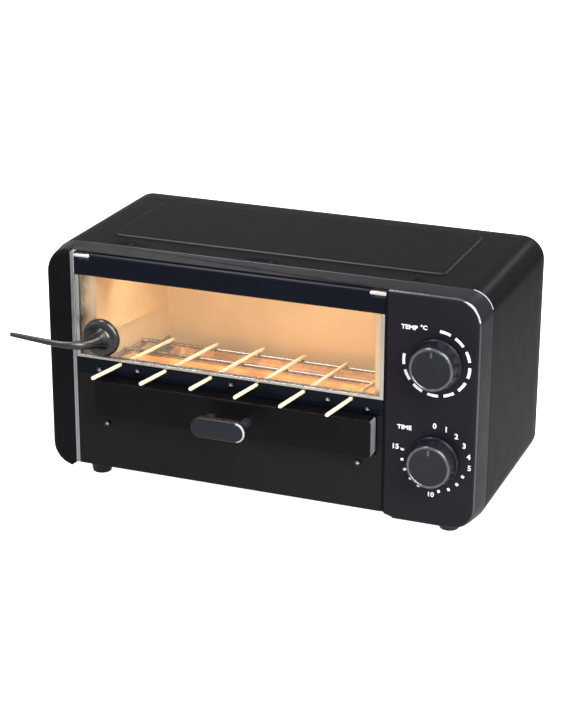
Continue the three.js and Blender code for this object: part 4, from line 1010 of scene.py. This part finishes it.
def screw_form(centre, head, length_of, forward):
    """A screw head as a height over radius and angle: a dome that falls with the square of the
    radius, less a cross recess where the nearer of its two arms covers the point. The shank
    below it is a profile turned about the same axis. The recess and the head's middle take
    bright steel, a painted glint."""
    share = np.concatenate([np.linspace(0, 0.92, 14), [0.97, 1.0]])
    angle = np.linspace(0, 2 * math.pi, 48, endpoint=False)
    r, a = np.meshgrid(share * head, angle, indexing="ij")
    u, v = r * np.cos(a), r * np.sin(a)
    rolled = np.clip((share - 0.9) / 0.1, 0, 1)
    dome = HEAD_TALL * (1 - 0.45 * share ** 2 - 0.35 * rolled ** 2)[:, None]
    arm = np.minimum(np.abs(u), np.abs(v)) < head * CROSS[0]
    recess = arm & (np.maximum(np.abs(u), np.abs(v)) < head * CROSS[1])
    height = dome - np.where(recess, HEAD_TALL * CROSS[2], 0)
    points = np.stack([centre[0] + u, centre[1] + forward * height, centre[2] + v], -1)
    shank = head * 0.55
    below = turned([
        (head, HEAD_TALL * 0.2), (head, 0), (shank, 0), (shank * 0.9, -length_of * 0.6), (0, -length_of),
    ], centre, (0, forward, 0), 48)
    # Painted glint: the recess and the head's middle are bright
    bright = recess | (share < PAINTED_GLINT)[:, None]
    bright = bright[:-1] & bright[1:] & np.roll(bright, -1, 1)[:-1]
    return Form().grid(points, caps=(True, False), look=bright.astype(int)).grid(below)


def add_screws(start, forward):
    """Screws for the nodes whose names start so. Their heads stand where the nodes' heads do,
    towards the front where forward is -1 and towards the back where it is 1."""
    for node in sorted(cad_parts):
        if not node.startswith(start):
            continue
        low, high = body_box(node)
        centre = (low + high) / 2
        centre[1] = low[1] + HEAD_TALL if forward < 0 else high[1] - HEAD_TALL
        form = screw_form(centre, (high[0] - low[0]) / 2, (high[1] - low[1]) - HEAD_TALL, forward)
        name = node.replace("screw", "pan_screw")
        # The head's second finish, bright steel, is the painted glint
        add_form(name, form, "screw_steel pin_steel", "housing", node)


class GRILL_OT_screws(bpy.types.Operator):
    """Adds the pan-head screws of the rail, the lower panel and the rear cover"""

    bl_idname = "grill.screws"
    bl_label = "Screws"

    def execute(self, context):
        add_screws(("rail_screw", "panel_screw"), -1)
        add_screws("cover_screw", 1)
        return {"FINISHED"}


# The window

LEVER_DISC = (0.0152, 0.005)  # the disc's radius and height
LEVER_RISE = 0.0036  # how much higher than the disc's middle the tip ends
LEVER_ROUTE = (  # shares of the reach to the left, the way out and the rise
    (0, 0.08, 0), (0.008, 0.2, 0.01), (0.03, 0.40, 0.04), (0.07, 0.60, 0.10), (0.14, 0.78, 0.16),
    (0.26, 0.895, 0.3), (0.45, 0.938, 0.5), (0.72, 0.935, 0.78), (1, 0.91, 1),
)
LEVER_TAPER = (  # shares of the route, and the arm's radius there
    (0, 0.08, 0.17, 0.26, 0.36, 0.5, 0.66, 0.83, 1),
    (0.0106, 0.0086, 0.0067, 0.0053, 0.0043, 0.0034, 0.0027, 0.0022, 0.00175),
)
LEVER_TIP = 0.0018  # length over which the tip rounds off


def build_lever():
    """The disc is a dome turned about the way out of the pane, and the arm a tube along a
    smooth route whose radius falls from a flared root to a slim tip with a round end."""
    low, high = body_box("lift_lever")
    radius, tall = LEVER_DISC
    centre = np.array([high[0] - radius, high[1], low[2] + radius])
    dome = filleted([
        (0, 0), (radius, 0), (radius, tall * 0.42), (radius * 0.86, tall * 0.92), (0, tall),
    ], [0.0005, 0.0011, 0.0035], 6)
    form = Form().grid(turned(dome, centre, (0, -1, 0), 72))
    reach, out = centre[0] - low[0] - 0.00001, centre[1] - low[1]
    last = 1 - 0.045 * np.cos(np.linspace(0, math.pi / 2, 10)[1:])
    at = np.concatenate([np.linspace(0, 0.955, 58), last])
    route = spline(centre + np.array(LEVER_ROUTE) * (-reach, -out, LEVER_RISE), at)
    radii = np.interp(at, *LEVER_TAPER)
    steps = np.linalg.norm(np.diff(route, axis=0), axis=1)
    to_tip = np.concatenate([np.cumsum(steps[::-1])[::-1], [0.0]])
    radii *= np.sqrt(np.clip(1 - (1 - np.minimum(to_tip / LEVER_TIP, 1)) ** 2, 0.0004, 1))
    form.grid(tube(route, radii, 28), caps=(True, True))
    add_form("lever", form, "lever_plastic", "window", "lift_lever", 40)


def slab(low, high, roll):
    """A thin upright plate with rolled edges: the profile goes from the front face round the
    edge to the back face, carried round a nearly square outline."""
    outline, normal = rounded_outline(low[0], high[0], low[2], high[2], roll * 2, 3)
    profile = filleted(
        [(roll * 1.9, low[1]), (0, low[1]), (0, high[1]), (roll * 1.9, high[1])], [roll, roll], 3
    )
    return carried(outline, normal, profile)


class GRILL_OT_window(bpy.types.Operator):
    """Adds the window: its top rail, pane, edge channel, hinge pins, lift lever and screw"""

    bl_idname = "grill.window"
    bl_label = "Window"

    def execute(self, context):
        edge = context.scene.grill_sizes.edge
        copy_of("window_rail", "top_rail", "navy_enamel", "window", edge, 3)
        copy_of("window_channel", "edge_channel", "channel_steel", "window", edge * 0.8)
        low, high = body_box("window_glass")
        form = Form().grid(slab(low, high, 0.0003), caps=(True, True))
        add_form("window_pane", form, "clear_glass", "window", "window_glass")
        for side in ("left", "right"):
            node = f"hinge_pin_{side}"
            form = Form().grid(level_rod(node, 0.0004, 24))
            add_form(f"pivot_{side}", form, "pin_steel", "window", node)
        build_lever()
        dress("plated_steel", "lever_screw")
        return {"FINISHED"}


# Skewers, chamber, rack and rods

def skewer_line(number):
    """The skewer's outer end and its length, from its node's box: it drops to the back by TILT."""
    low, high = body_box(f"skewer_{number}")
    radius = (high[0] - low[0]) / 2
    start = np.array([
        (low[0] + high[0]) / 2, low[1] + radius * math.sin(TILT), high[2] - radius * math.cos(TILT)
    ])
    return start, (high[1] - start[1]) / math.cos(TILT), radius


class GRILL_OT_skewers(bpy.types.Operator):
    """Adds the six bamboo skewers, whose radius wavers as two sines and ends in a long point"""

    bl_idname = "grill.skewers"
    bl_label = "Skewers"

    def execute(self, context):
        for number, body in enumerate(SKEWERS, 1):
            start, whole, radius = skewer_line(number)
            along = np.concatenate([[0.0, 0.0, 0.0003, 0.0009], np.linspace(0.004, whole - 0.010, 40)])
            waver = 0.972 + 0.020 * np.sin(along * 260 + number * 1.7) * np.sin(along * 90 + number)
            wide = radius * waver
            wide[:3] = [0, radius * 0.78, radius * 0.92]
            tip = [(radius * 0.94, whole - 0.009), (radius * 0.45, whole - 0.003), (0, whole)]
            profile = np.concatenate([np.stack([wide, along], -1), tip])
            form = Form().grid(turned(profile, start, ALONG, 20))
            name, node = f"bamboo_skewer_{number}", f"skewer_{number}"
            add_form(name, form, "bamboo", f"skewer_{body}", node, 50)
        return {"FINISHED"}


WIRE, SIDE_WIRE = 0.0015, 0.0018  # radii of the rack's cross wires and side wires
RACK_RUN = 0.074  # how far in the side wires reach
UNDER_SKEWER = 0.00035  # room between a skewer and the wire under it


def build_rack():
    """Two side wires and three cross wires, each a rod with rolled ends along its own line."""
    low, high = body_box("skewer_rack")
    start, _, radius = skewer_line(1)

    def wire_height(y):
        skewer = start[2] - (y - start[1]) * math.tan(TILT)
        return skewer - (radius + UNDER_SKEWER + WIRE) / math.cos(TILT)

    form = Form()
    first = low[1] + SIDE_WIRE * math.sin(TILT)
    for x in (low[0] + SIDE_WIRE, high[0] - SIDE_WIRE):
        base = np.array([x, first, wire_height(first) - WIRE / 2 - SIDE_WIRE])
        form.grid(rod(SIDE_WIRE, RACK_RUN / math.cos(TILT), 0.0007, base, ALONG, 20))
    for y in np.linspace(first + 2 * SIDE_WIRE, first + RACK_RUN - 2 * SIDE_WIRE, 3):
        base = np.array([low[0] + SIDE_WIRE * 0.4, y, wire_height(y)])
        form.grid(rod(WIRE, high[0] - low[0] - SIDE_WIRE * 0.8, 0.0006, base, (1, 0, 0), 18))
    add_form("wire_rack", form, "plated_steel", "housing", "skewer_rack")


class GRILL_OT_chamber(bpy.types.Operator):
    """Adds the chamber's liner, wire rack, heating rods and their ceramic holders"""

    bl_idname = "grill.chamber"
    bl_label = "Cooking chamber"

    def execute(self, context):
        edge = context.scene.grill_sizes.edge
        copy_of("oven_liner", "chamber_liner", "chamber_steel", "housing", edge * 0.7)
        build_rack()
        for node in sorted(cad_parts):
            if "heating_rod" in node:
                form = Form().grid(level_rod(node, 0.0008, 32))
                name = node.replace("heating_rod", "element")
                add_form(name, form, "rod_steel", "housing", node)
            if "rod_holder" in node:
                name = node.replace("rod_holder", "ceramic_strip")
                copy_of(node, name, "ceramic", "housing", edge)
        return {"FINISHED"}


# The drawer

DRAWER_WALL, DRAWER_CORNER = 0.002, 0.0032
DRAWER_LIP = 0.0030  # how far in from the outline the face's roll starts
DRAWER_BAND = 0.0117  # depth of the band at the ends of the drawer's front that is painted paler, as a highlight
DRAWER_HIGHLIGHT = (0.0012, 0.0118)  # depths between which a face is part of that band
HANDLE_LIP, HANDLE_TAPER = 0.0042, 0.0004
HANDLE_HIGHLIGHT_REACH = 0.0066  # how far in from its right end the handle's edge has a painted highlight
STUD = 0.0018  # radius of the studs inside the handle's posts
SEAT = 0.0003  # room between a post and what it stands against


def build_drawer_block():
    """A hollow block: the profile rolls off the face, runs back along the side and round its
    rear edge into the hollow, and is carried round a rounded outline. Its ends are painted
    paler, as a highlight."""
    low, high = body_box("drawer_front")
    front, wall = low[1], DRAWER_WALL
    outline, normal = rounded_outline(low[0], high[0], low[2], high[2], DRAWER_CORNER, 6)
    profile = filleted([
        (DRAWER_LIP, front), (0, front), (0, front + DRAWER_BAND), (0, high[1]), (wall, high[1]),
        (wall, front + wall), (DRAWER_LIP, front + wall),
    ], [0.0020, 0, 0.0004, 0.0004, 0.0004], 5)
    level = np.abs(normal[:, 0]) > 0.55
    deep = (profile[:-1, 1] + profile[1:, 1]) / 2 - front
    # The band on the ends' sides is painted paler, as a highlight
    side = (profile[:-1, 0] < 0.0006) & (deep > DRAWER_HIGHLIGHT[0]) & (deep < DRAWER_HIGHLIGHT[1])
    look = (side[:, None] & (level & np.roll(level, -1))[None, :]).astype(int)
    form = Form().grid(carried(outline, normal, profile), caps=(True, True), look=look)
    add_form("drawer_block", form, "drawer_plastic drawer_end", "drawer", "drawer_front")


def build_handle():
    """A bar: the profile rolls over the front and rear edges and is carried round an outline
    with half-round ends. The front edge at its right end has a pale painted highlight."""
    low, high = body_box("drawer_handle")
    half_round = (high[2] - low[2]) / 2 - 0.0001
    outline, normal = rounded_outline(low[0], high[0], low[2], high[2], half_round, 16)
    profile = filleted([
        (HANDLE_LIP, low[1]), (HANDLE_TAPER, low[1]), (0, high[1]), (HANDLE_LIP, high[1]),
    ], [0.0016, 0.0012], 6)
    row = np.arange(len(profile) - 1)[:, None]
    # Painted highlight on the front edge at the right end
    right_end = outline[None, :, 0] > high[0] - HANDLE_HIGHLIGHT_REACH
    look = ((row >= 2) & (row <= 5) & right_end).astype(int)
    form = Form().grid(carried(outline, normal, profile), caps=(True, True), look=look)
    add_form("bar_handle", form, "knob_plastic worn_edge", "drawer", "drawer_handle")


def build_post(side):
    """A profile turned about the post's axis: a stud into the handle, the post, and a stud into
    the drawer's front."""
    node = f"handle_post_{side}"
    low, high = body_box(node)
    radius, whole = (high[0] - low[0]) / 2, high[1] - low[1]
    start = body_box("drawer_handle")[1][1] - low[1] + SEAT
    end = body_box("drawer_front")[0][1] - low[1] - SEAT
    centre = np.array([(low[0] + high[0]) / 2, low[1], (low[2] + high[2]) / 2])
    profile = filleted([
        (0, 0), (STUD, 0), (STUD, start), (radius, start), (radius, end), (STUD, end), (STUD, whole),
        (0, whole),
    ], [0.0003, 0, 0.0004, 0.0004, 0, 0.0003])
    form = Form().grid(turned(profile, centre, (0, 1, 0), 40))
    add_form(f"handle_pillar_{side}", form, "post_steel", "drawer", node)


class GRILL_OT_drawer(bpy.types.Operator):
    """Adds the drawer's hollow front, its bar handle on two posts, the tray and its runners"""

    bl_idname = "grill.drawer"
    bl_label = "Drawer"

    def execute(self, context):
        build_drawer_block()
        build_handle()
        for side in ("left", "right"):
            build_post(side)
        edge = context.scene.grill_sizes.edge
        copy_of("drip_tray", "tray", "tray_steel", "drawer", edge * 0.6)
        dress("galvanised", "tray_runner_left", "tray_runner_right")
        return {"FINISHED"}


# Knobs and printed marks

KNOB_FACE = 0.79  # radius of the knob's face over that of its skirt
POINTER_HALF, POINTER_LONG = 0.0008, 0.0042


def build_knob(node, name, body):
    """A profile turned about the shaft: skirt, tapered grip, rolled rim and dished face. The
    rows of the rim have a paler finish, a painted highlight, and the raised pointer over the
    middle has that finish as its own colour."""
    sizes = bpy.context.scene.grill_sizes
    low, high = body_box(node)
    radius, tall = (high[2] - low[2]) / 2, high[1] - low[1]
    face = radius * KNOB_FACE
    centre = np.array([(low[0] + high[0]) / 2, high[1], (low[2] + high[2]) / 2])
    rim, dish = sizes.knob_rim, sizes.knob_dish
    shoulder = (face + rim * 0.9, tall - rim * 0.75)
    bottom = tall - dish * 1.15
    side = filleted([
        (0, 0), (radius, 0), (radius, 0.0020), (radius - 0.0009, 0.0030),
        (face + rim + 0.0004, tall - rim * 1.3), shoulder,
    ], [0.0003, 0.0006, 0.0008, 0.0010], 5)
    roll = filleted([
        shoulder, (face + rim * 0.55, tall), (face - rim * 0.35, tall), (face - rim * 0.75, tall - dish),
    ], [0.0006, 0.0005], 5)
    profile = np.concatenate([side, roll[1:], [(face - rim * 1.4, bottom), (0, bottom)]])
    look = np.zeros((len(profile) - 1, 1), int)
    # The rim's rows are painted paler, as a highlight
    look[len(side) - 1: len(side) + len(roll) - 2] = 1
    form = Form().grid(turned(profile, centre, (0, -1, 0), 96), look=look)
    add_form(name, form, "knob_plastic knob_rim", body, node, 50)
    front, top = centre[1] - bottom, centre[2] + face - rim * 1.5
    outline, normal = rounded_outline(
        centre[0] - POINTER_HALF, centre[0] + POINTER_HALF, top - POINTER_LONG, top, 0.0003, 3
    )
    profile = np.array([(0.00015, front - 0.00015), (0, front - 0.0001), (0, front + 0.0003)])
    pointer = Form().grid(carried(outline, normal, profile), caps=(True, True))
    add_form(f"{name}_pointer", pointer, "knob_rim", body)


class GRILL_OT_knobs(bpy.types.Operator):
    """Adds the heat knob and the timer knob with their pointers"""

    bl_idname = "grill.knobs"
    bl_label = "Knobs"

    def execute(self, context):
        build_knob("heat_knob", "heat_dial_knob", "heat_dial")
        build_knob("timer_knob", "timer_dial_knob", "timer_dial")
        dress("plated_steel", "thermostat_shaft", "timer_shaft")
        return {"FINISHED"}


HEAT_DASHES, HEAT_START, HEAT_STEP = 10, 13.6, 28.6  # how many, the first one's angle, the pitch
MINUTE = 18.8  # degrees that the timer turns in a minute
TICKS = (6, 7, 8, 9, 11, 12, 13, 14)
HEAT_WORDS = (  # each word, its middle right of and over the knob's, its height and its width
    ("TEMP", -0.0211, 0.0251, 0.0034, 0.0124), ("\N{DEGREE SIGN}C", -0.0103, 0.0262, 0.0034, 0.0050),
)
TIMER_WORDS = (
    ("10", -0.0012, -0.0272, 0.0040, 0.0046), ("15", -0.0292, 0.0068, 0.0040, 0.0046),
    ("TIME", -0.0230, 0.0228, 0.0034, 0.0112),
)


def dash(form, centre, thick, radius, wide, angle, sweep):
    """A bent dash on the panel: points on circles of two radii, swept clockwise from the top."""
    inner, outer = radius - wide / 2, radius + wide / 2
    a = np.radians(np.linspace(angle - sweep / 2, angle + sweep / 2, 9))[:, None]
    r, y = np.array([(inner, -thick), (outer, -thick), (outer, 0.0), (inner, 0.0)]).T
    x, z = centre[0] + r * np.sin(a), centre[1] + r * np.cos(a)
    form.grid(np.stack([x, np.broadcast_to(y, x.shape), z], -1), caps=(True, True))


def lettering(form, centre, thick, text, x, z, height, width=None):
    """A word as a thin solid on the panel, its middle at x and z from the centre, with its
    height and, where one is given, its width."""
    curve = bpy.data.curves.new("word", "FONT")
    curve.body = text
    curve.extrude = 0.2
    curve.offset = 0.026
    curve.resolution_u = 4
    source = bpy.data.objects.new("word", curve)
    bpy.context.scene.collection.objects.link(source)
    bpy.context.view_layer.update()
    mesh = bpy.data.meshes.new_from_object(source.evaluated_get(bpy.context.evaluated_depsgraph_get()))
    flat = read(mesh.vertices, "co", 3)
    faces = [list(polygon.vertices) for polygon in mesh.polygons]
    low, high = flat.min(0), flat.max(0)
    scale = height / (high[1] - low[1])
    across = scale if width is None else width / (high[0] - low[0])
    points = np.stack([
        centre[0] + x + (flat[:, 0] - (low[0] + high[0]) / 2) * across,
        -thick * (flat[:, 2] - low[2]) / (high[2] - low[2]),
        centre[1] + z + (flat[:, 1] - (low[1] + high[1]) / 2) * scale,
    ], -1)
    form.solid(points, faces)
    bpy.data.objects.remove(source)
    bpy.data.curves.remove(curve)
    bpy.data.meshes.remove(mesh)


class GRILL_OT_marks(bpy.types.Operator):
    """Adds the printed scales: ten dashes for heat, and the timer's numbers and ticks"""

    bl_idname = "grill.marks"
    bl_label = "Printed marks"

    def execute(self, context):
        sizes = context.scene.grill_sizes
        form, around = Form(), (middle("heat_knob")[[0, 2]], sizes.print_thick)
        for step in range(HEAT_DASHES):
            dash(form, *around, sizes.dash_radius, 0.0021, HEAT_START + HEAT_STEP * step, 19)
        for word in HEAT_WORDS:
            lettering(form, *around, *word)
        add_form("heat_scale", form, "print_ink", "housing", sharp=30)
        form, around = Form(), (middle("timer_knob")[[0, 2]], sizes.print_thick)
        for minute in range(6):
            angle = math.radians(minute * MINUTE)
            x, z = sizes.number_radius * math.sin(angle), sizes.number_radius * math.cos(angle)
            lettering(form, *around, str(minute), x, z, 0.0042)
        for minute in TICKS:
            dash(form, *around, sizes.tick_radius, 0.0022, minute * MINUTE, 4.6)
        dash(form, *around, 0.0247, 0.0026, 15 * MINUTE, 3.2)
        for word in TIMER_WORDS:
            lettering(form, *around, *word)
        add_form("timer_scale", form, "print_ink", "housing", sharp=30)
        return {"FINISHED"}


# The back, the underside and what is inside

class GRILL_OT_back(bpy.types.Operator):
    """Adds the slotted rear cover and the bush, and finishes the base and the controls"""

    bl_idname = "grill.back"
    bl_label = "Back, base and controls"

    def execute(self, context):
        edge = context.scene.grill_sizes.edge
        copy_of("rear_cover", "slotted_cover", "galvanised", "housing", edge * 0.6)
        copy_of("cord_bush", "bush", "rubber", "housing", edge)
        copy_of("base_plate", "bottom_plate", "galvanised", "housing", edge * 0.5)
        dress("phenolic", "thermostat")
        dress("galvanised", "timer_body")
        return {"FINISHED"}


FOOT_STUD, FOOT_GAP = 0.002, 0.00035  # radius of the bolt in a foot, and room under the base
FOOT_BAND = 0.0032  # height of the band at a foot's top


class GRILL_OT_feet(bpy.types.Operator):
    """Adds the four feet: tapered rubber with a band at the top and a rolled sole"""

    bl_idname = "grill.feet"
    bl_label = "Feet"

    def execute(self, context):
        for place in ("front_left", "front_right", "rear_left", "rear_right"):
            node = f"foot_{place}"
            low, high = body_box(node)
            radius, whole = (high[0] - low[0]) / 2, high[2] - low[2]
            centre = np.array([(low[0] + high[0]) / 2, (low[1] + high[1]) / 2, low[2]])
            top = -FOOT_GAP - low[2]
            profile = filleted([
                (0, 0.0006), (radius * 0.62, 0.0006), (radius * 0.66, 0), (radius * 0.86, 0),
                (radius, top - FOOT_BAND), (radius, top), (FOOT_STUD, top), (FOOT_STUD, whole), (0, whole),
            ], [0.0003, 0.0003, 0.0011, 0.0008, 0.0006, 0, 0.0003], 5)
            form = Form().grid(turned(profile, centre, (0, 0, 1), 48))
            add_form(f"rubber_{node}", form, "rubber", "housing", node)
        return {"FINISHED"}


# Camera, floor and light

CAMERA_PLACE = (0.53524, -1.30808, 0.64396)
CAMERA_AIM = (0.02596, 0.0, 0.11628)
CAMERA_ROLL = math.radians(0.242)
CAMERA_LENS = 101.59
FLOOR_HALF = 4.0
FLOOR_PALE, FLOOR_DIMMED = 0.80, 0.45  # the floor's colour, and how much darker mirrors see it
POOL_SHIFT, POOL_RADIUS = 0.36, 0.78  # where the lit pool on the floor lies, and its radius
WORLD_LIGHT = 0.34
WHITE = (1, 1, 1)
LAMP_AIM = (0, 0.05, 0.1)
LAMPS = (  # name, place, size, power, tint and roll
    ("key_lamp", (1.13, -1.0, 1.20), (0.42, 1.9), 60, WHITE, 0.49),
    ("side_lamp", (1.42, 0.1, 1.50), (0.45, 1.1), 18, WHITE, 0.49),
    ("top_lamp", (-0.62, 0.42, 1.75), (0.5, 0.5), 8, WHITE, 0),
    ("front_lamp", (-0.70, -0.36, 1.90), (0.4, 0.4), 11, WHITE, 0),
    ("back_lamp", (0.52, 1.86, 1.00), (0.3, 0.3), 4.5, WHITE, 0),
    ("fill_lamp", (-1.5, -1.2, 0.8), (0.8, 0.6), 3, WHITE, 0),
    ("sheen_lamp", (-0.79, 1.66, 1.34), (0.5, 0.5), 1.1, (0.84, 0.90, 1.0), 0),
)


def unit(vector):
    """A vector's direction, at length one."""
    return vector / np.linalg.norm(vector)


def aimed(place, aim, roll):
    """A matrix at place that looks at aim, turned by roll about the line of sight."""
    back = unit(np.array(place) - np.array(aim))
    right = unit(np.cross([0, 0, 1.0], back))
    up = np.cross(back, right)
    right, up = (
        math.cos(roll) * right + math.sin(roll) * up,
        math.cos(roll) * up - math.sin(roll) * right,
    )
    turn = Matrix(np.stack([right, up, back], -1).tolist()).to_4x4()
    return Matrix.Translation((np.array(place) + ORIGIN).tolist()) @ turn


def larger(tree, first, second):
    """The larger of two outputs of a finish."""
    node = tree.nodes.new("ShaderNodeMath")
    node.operation = "MAXIMUM"
    tree.links.new(first, node.inputs[0])
    tree.links.new(second, node.inputs[1])
    return node.outputs[0]


def seen_white(tree, output, other):
    """Sends one shader, linked to the input that is returned, to what the camera, mirrors and
    clear pieces see, and other to the rest."""
    path = tree.nodes.new("ShaderNodeLightPath")
    mixed = tree.nodes.new("ShaderNodeMixShader")
    seen = larger(tree, path.outputs["Is Camera Ray"], path.outputs["Is Glossy Ray"])
    seen = larger(tree, seen, path.outputs["Is Transmission Ray"])
    tree.links.new(seen, mixed.inputs["Fac"])
    tree.links.new(other, mixed.inputs[1])
    tree.links.new(mixed.outputs["Shader"], output.inputs["Surface"])
    return mixed.inputs[2]


def floor_finish():
    """A floor that the camera sees as white. Mirrors see it darker, with a lit pool whose glow
    falls off from its middle, and other light meets it plain and pale."""
    material = bpy.data.materials.new("pale_floor")
    material.use_nodes = True
    tree = material.node_tree
    link, new = tree.links.new, tree.nodes.new
    shader = tree.nodes["Principled BSDF"]
    shader.inputs["Roughness"].default_value = 0.9
    glow = new("ShaderNodeEmission")
    glow.inputs["Color"].default_value = (*WHITE, 1)
    place, pool, ball = new("ShaderNodeTexCoord"), new("ShaderNodeMapping"), new("ShaderNodeTexGradient")
    pool.inputs["Location"].default_value = (-POOL_SHIFT / POOL_RADIUS, 0, 0)
    pool.inputs["Scale"].default_value = (1 / POOL_RADIUS,) * 3
    ball.gradient_type = "SPHERICAL"
    seen = new("ShaderNodeLightPath")
    link(place.outputs["Object"], pool.inputs["Vector"])
    link(pool.outputs["Vector"], ball.inputs["Vector"])
    link(larger(tree, ball.outputs["Fac"], seen.outputs["Is Camera Ray"]), glow.inputs["Strength"])
    dimmed = new("ShaderNodeMath")
    dimmed.operation = "MULTIPLY_ADD"
    dimmed.inputs[1].default_value = -FLOOR_DIMMED
    dimmed.inputs[2].default_value = FLOOR_PALE
    link(seen.outputs["Is Glossy Ray"], dimmed.inputs[0])
    link(dimmed.outputs[0], shader.inputs["Base Color"])
    lit = new("ShaderNodeAddShader")
    link(shader.outputs["BSDF"], lit.inputs[0])
    link(glow.outputs["Emission"], lit.inputs[1])
    white = seen_white(tree, tree.nodes["Material Output"], shader.outputs["BSDF"])
    link(lit.outputs["Shader"], white)
    return material


def white_world():
    """Surroundings that the camera and mirrors see as white, and that light the rest less."""
    world = bpy.data.worlds.new("studio")
    world.use_nodes = True
    tree = world.node_tree
    ambient, bright = tree.nodes["Background"], tree.nodes.new("ShaderNodeBackground")
    for shader, strength in ((ambient, WORLD_LIGHT), (bright, 1.0)):
        shader.inputs["Color"].default_value = (*WHITE, 1)
        shader.inputs["Strength"].default_value = strength
    white = seen_white(tree, tree.nodes["World Output"], ambient.outputs["Background"])
    tree.links.new(bright.outputs["Background"], white)
    return world


def add_lamp(name, place, aim, size, power, tint, roll=0.0):
    """A rectangular lamp that looks at its aim."""
    light = bpy.data.lights.new(name, "AREA")
    light.shape = "RECTANGLE"
    light.size, light.size_y = size
    light.energy = power
    light.color = tint
    lamp = bpy.data.objects.new(name, light)
    bpy.context.scene.collection.objects.link(lamp)
    lamp.matrix_world = aimed(place, aim, roll)


class GRILL_OT_camera(bpy.types.Operator):
    """Adds the camera at the photograph's angle"""

    bl_idname = "grill.camera"
    bl_label = "Camera"

    def execute(self, context):
        data = bpy.data.cameras.new("camera")
        data.lens = CAMERA_LENS
        data.sensor_width = 36
        data.clip_start, data.clip_end = 0.05, 30
        camera = bpy.data.objects.new("camera", data)
        context.scene.collection.objects.link(camera)
        camera.matrix_world = aimed(CAMERA_PLACE, CAMERA_AIM, CAMERA_ROLL)
        context.scene.camera = camera
        return {"FINISHED"}


class GRILL_OT_stage(bpy.types.Operator):
    """Adds the pale floor, the soft studio lamps and the white surroundings"""

    bl_idname = "grill.stage"
    bl_label = "Stage"

    def execute(self, context):
        scene = context.scene
        scene.view_settings.view_transform = "Standard"
        mesh = bpy.data.meshes.new("floor")
        corners = [(x * FLOOR_HALF, y * FLOOR_HALF, 0) for x, y in ((-1, -1), (1, -1), (1, 1), (-1, 1))]
        mesh.from_pydata(corners, [], [(0, 1, 2, 3)])
        floor = object_of("floor", mesh)
        mesh.materials.append(floor_finish())
        scene.world = white_world()
        for name, place, size, power, tint, roll in LAMPS:
            add_lamp(name, place, LAMP_AIM, size, power, tint, roll)
        low, high = body_box("oven_liner")
        centre = (low + high) / 2
        add_lamp(
            "chamber_lamp", (centre[0], low[1] + 0.045, high[2] - 0.012), (centre[0], high[1], low[2] + 0.05),
            (0.19, 0.05), 0.34, (1.0, 0.80, 0.57),
        )
        return {"FINISHED"}


# The add-on

ORDER = (
    "camera", "stage", "wrap", "front", "window", "skewers", "chamber", "drawer", "knobs", "marks",
    "screws", "back", "feet",
)


class GRILL_PT_panel(bpy.types.Panel):
    """Lists the grill's pieces, sizes and colours in the sidebar"""

    bl_idname = "GRILL_PT_panel"
    bl_label = "Yakitori Grill"
    bl_space_type = "VIEW_3D"
    bl_region_type = "UI"
    bl_category = "Grill"

    def draw(self, context):
        layout = self.layout
        for name in ORDER:
            layout.operator(f"grill.{name}")
        for group in (context.scene.grill_sizes, context.scene.grill_colours):
            box = layout.box()
            for key in group.__annotations__:
                box.prop(group, key)


CLASSES = (
    GrillSizes, GrillColours, GRILL_OT_camera, GRILL_OT_stage, GRILL_OT_wrap, GRILL_OT_front,
    GRILL_OT_window, GRILL_OT_skewers, GRILL_OT_chamber, GRILL_OT_drawer, GRILL_OT_knobs,
    GRILL_OT_marks, GRILL_OT_screws, GRILL_OT_back, GRILL_OT_feet, GRILL_PT_panel,
)


def register():
    for each in CLASSES:
        bpy.utils.register_class(each)
    bpy.types.Scene.grill_sizes = bpy.props.PointerProperty(type=GrillSizes)
    bpy.types.Scene.grill_colours = bpy.props.PointerProperty(type=GrillColours)


def unregister():
    del bpy.types.Scene.grill_colours
    del bpy.types.Scene.grill_sizes
    for each in reversed(CLASSES):
        bpy.utils.unregister_class(each)


def main():
    register()
    for name in ORDER:
        getattr(bpy.ops.grill, name)()


if __name__ == "__main__":
    main()
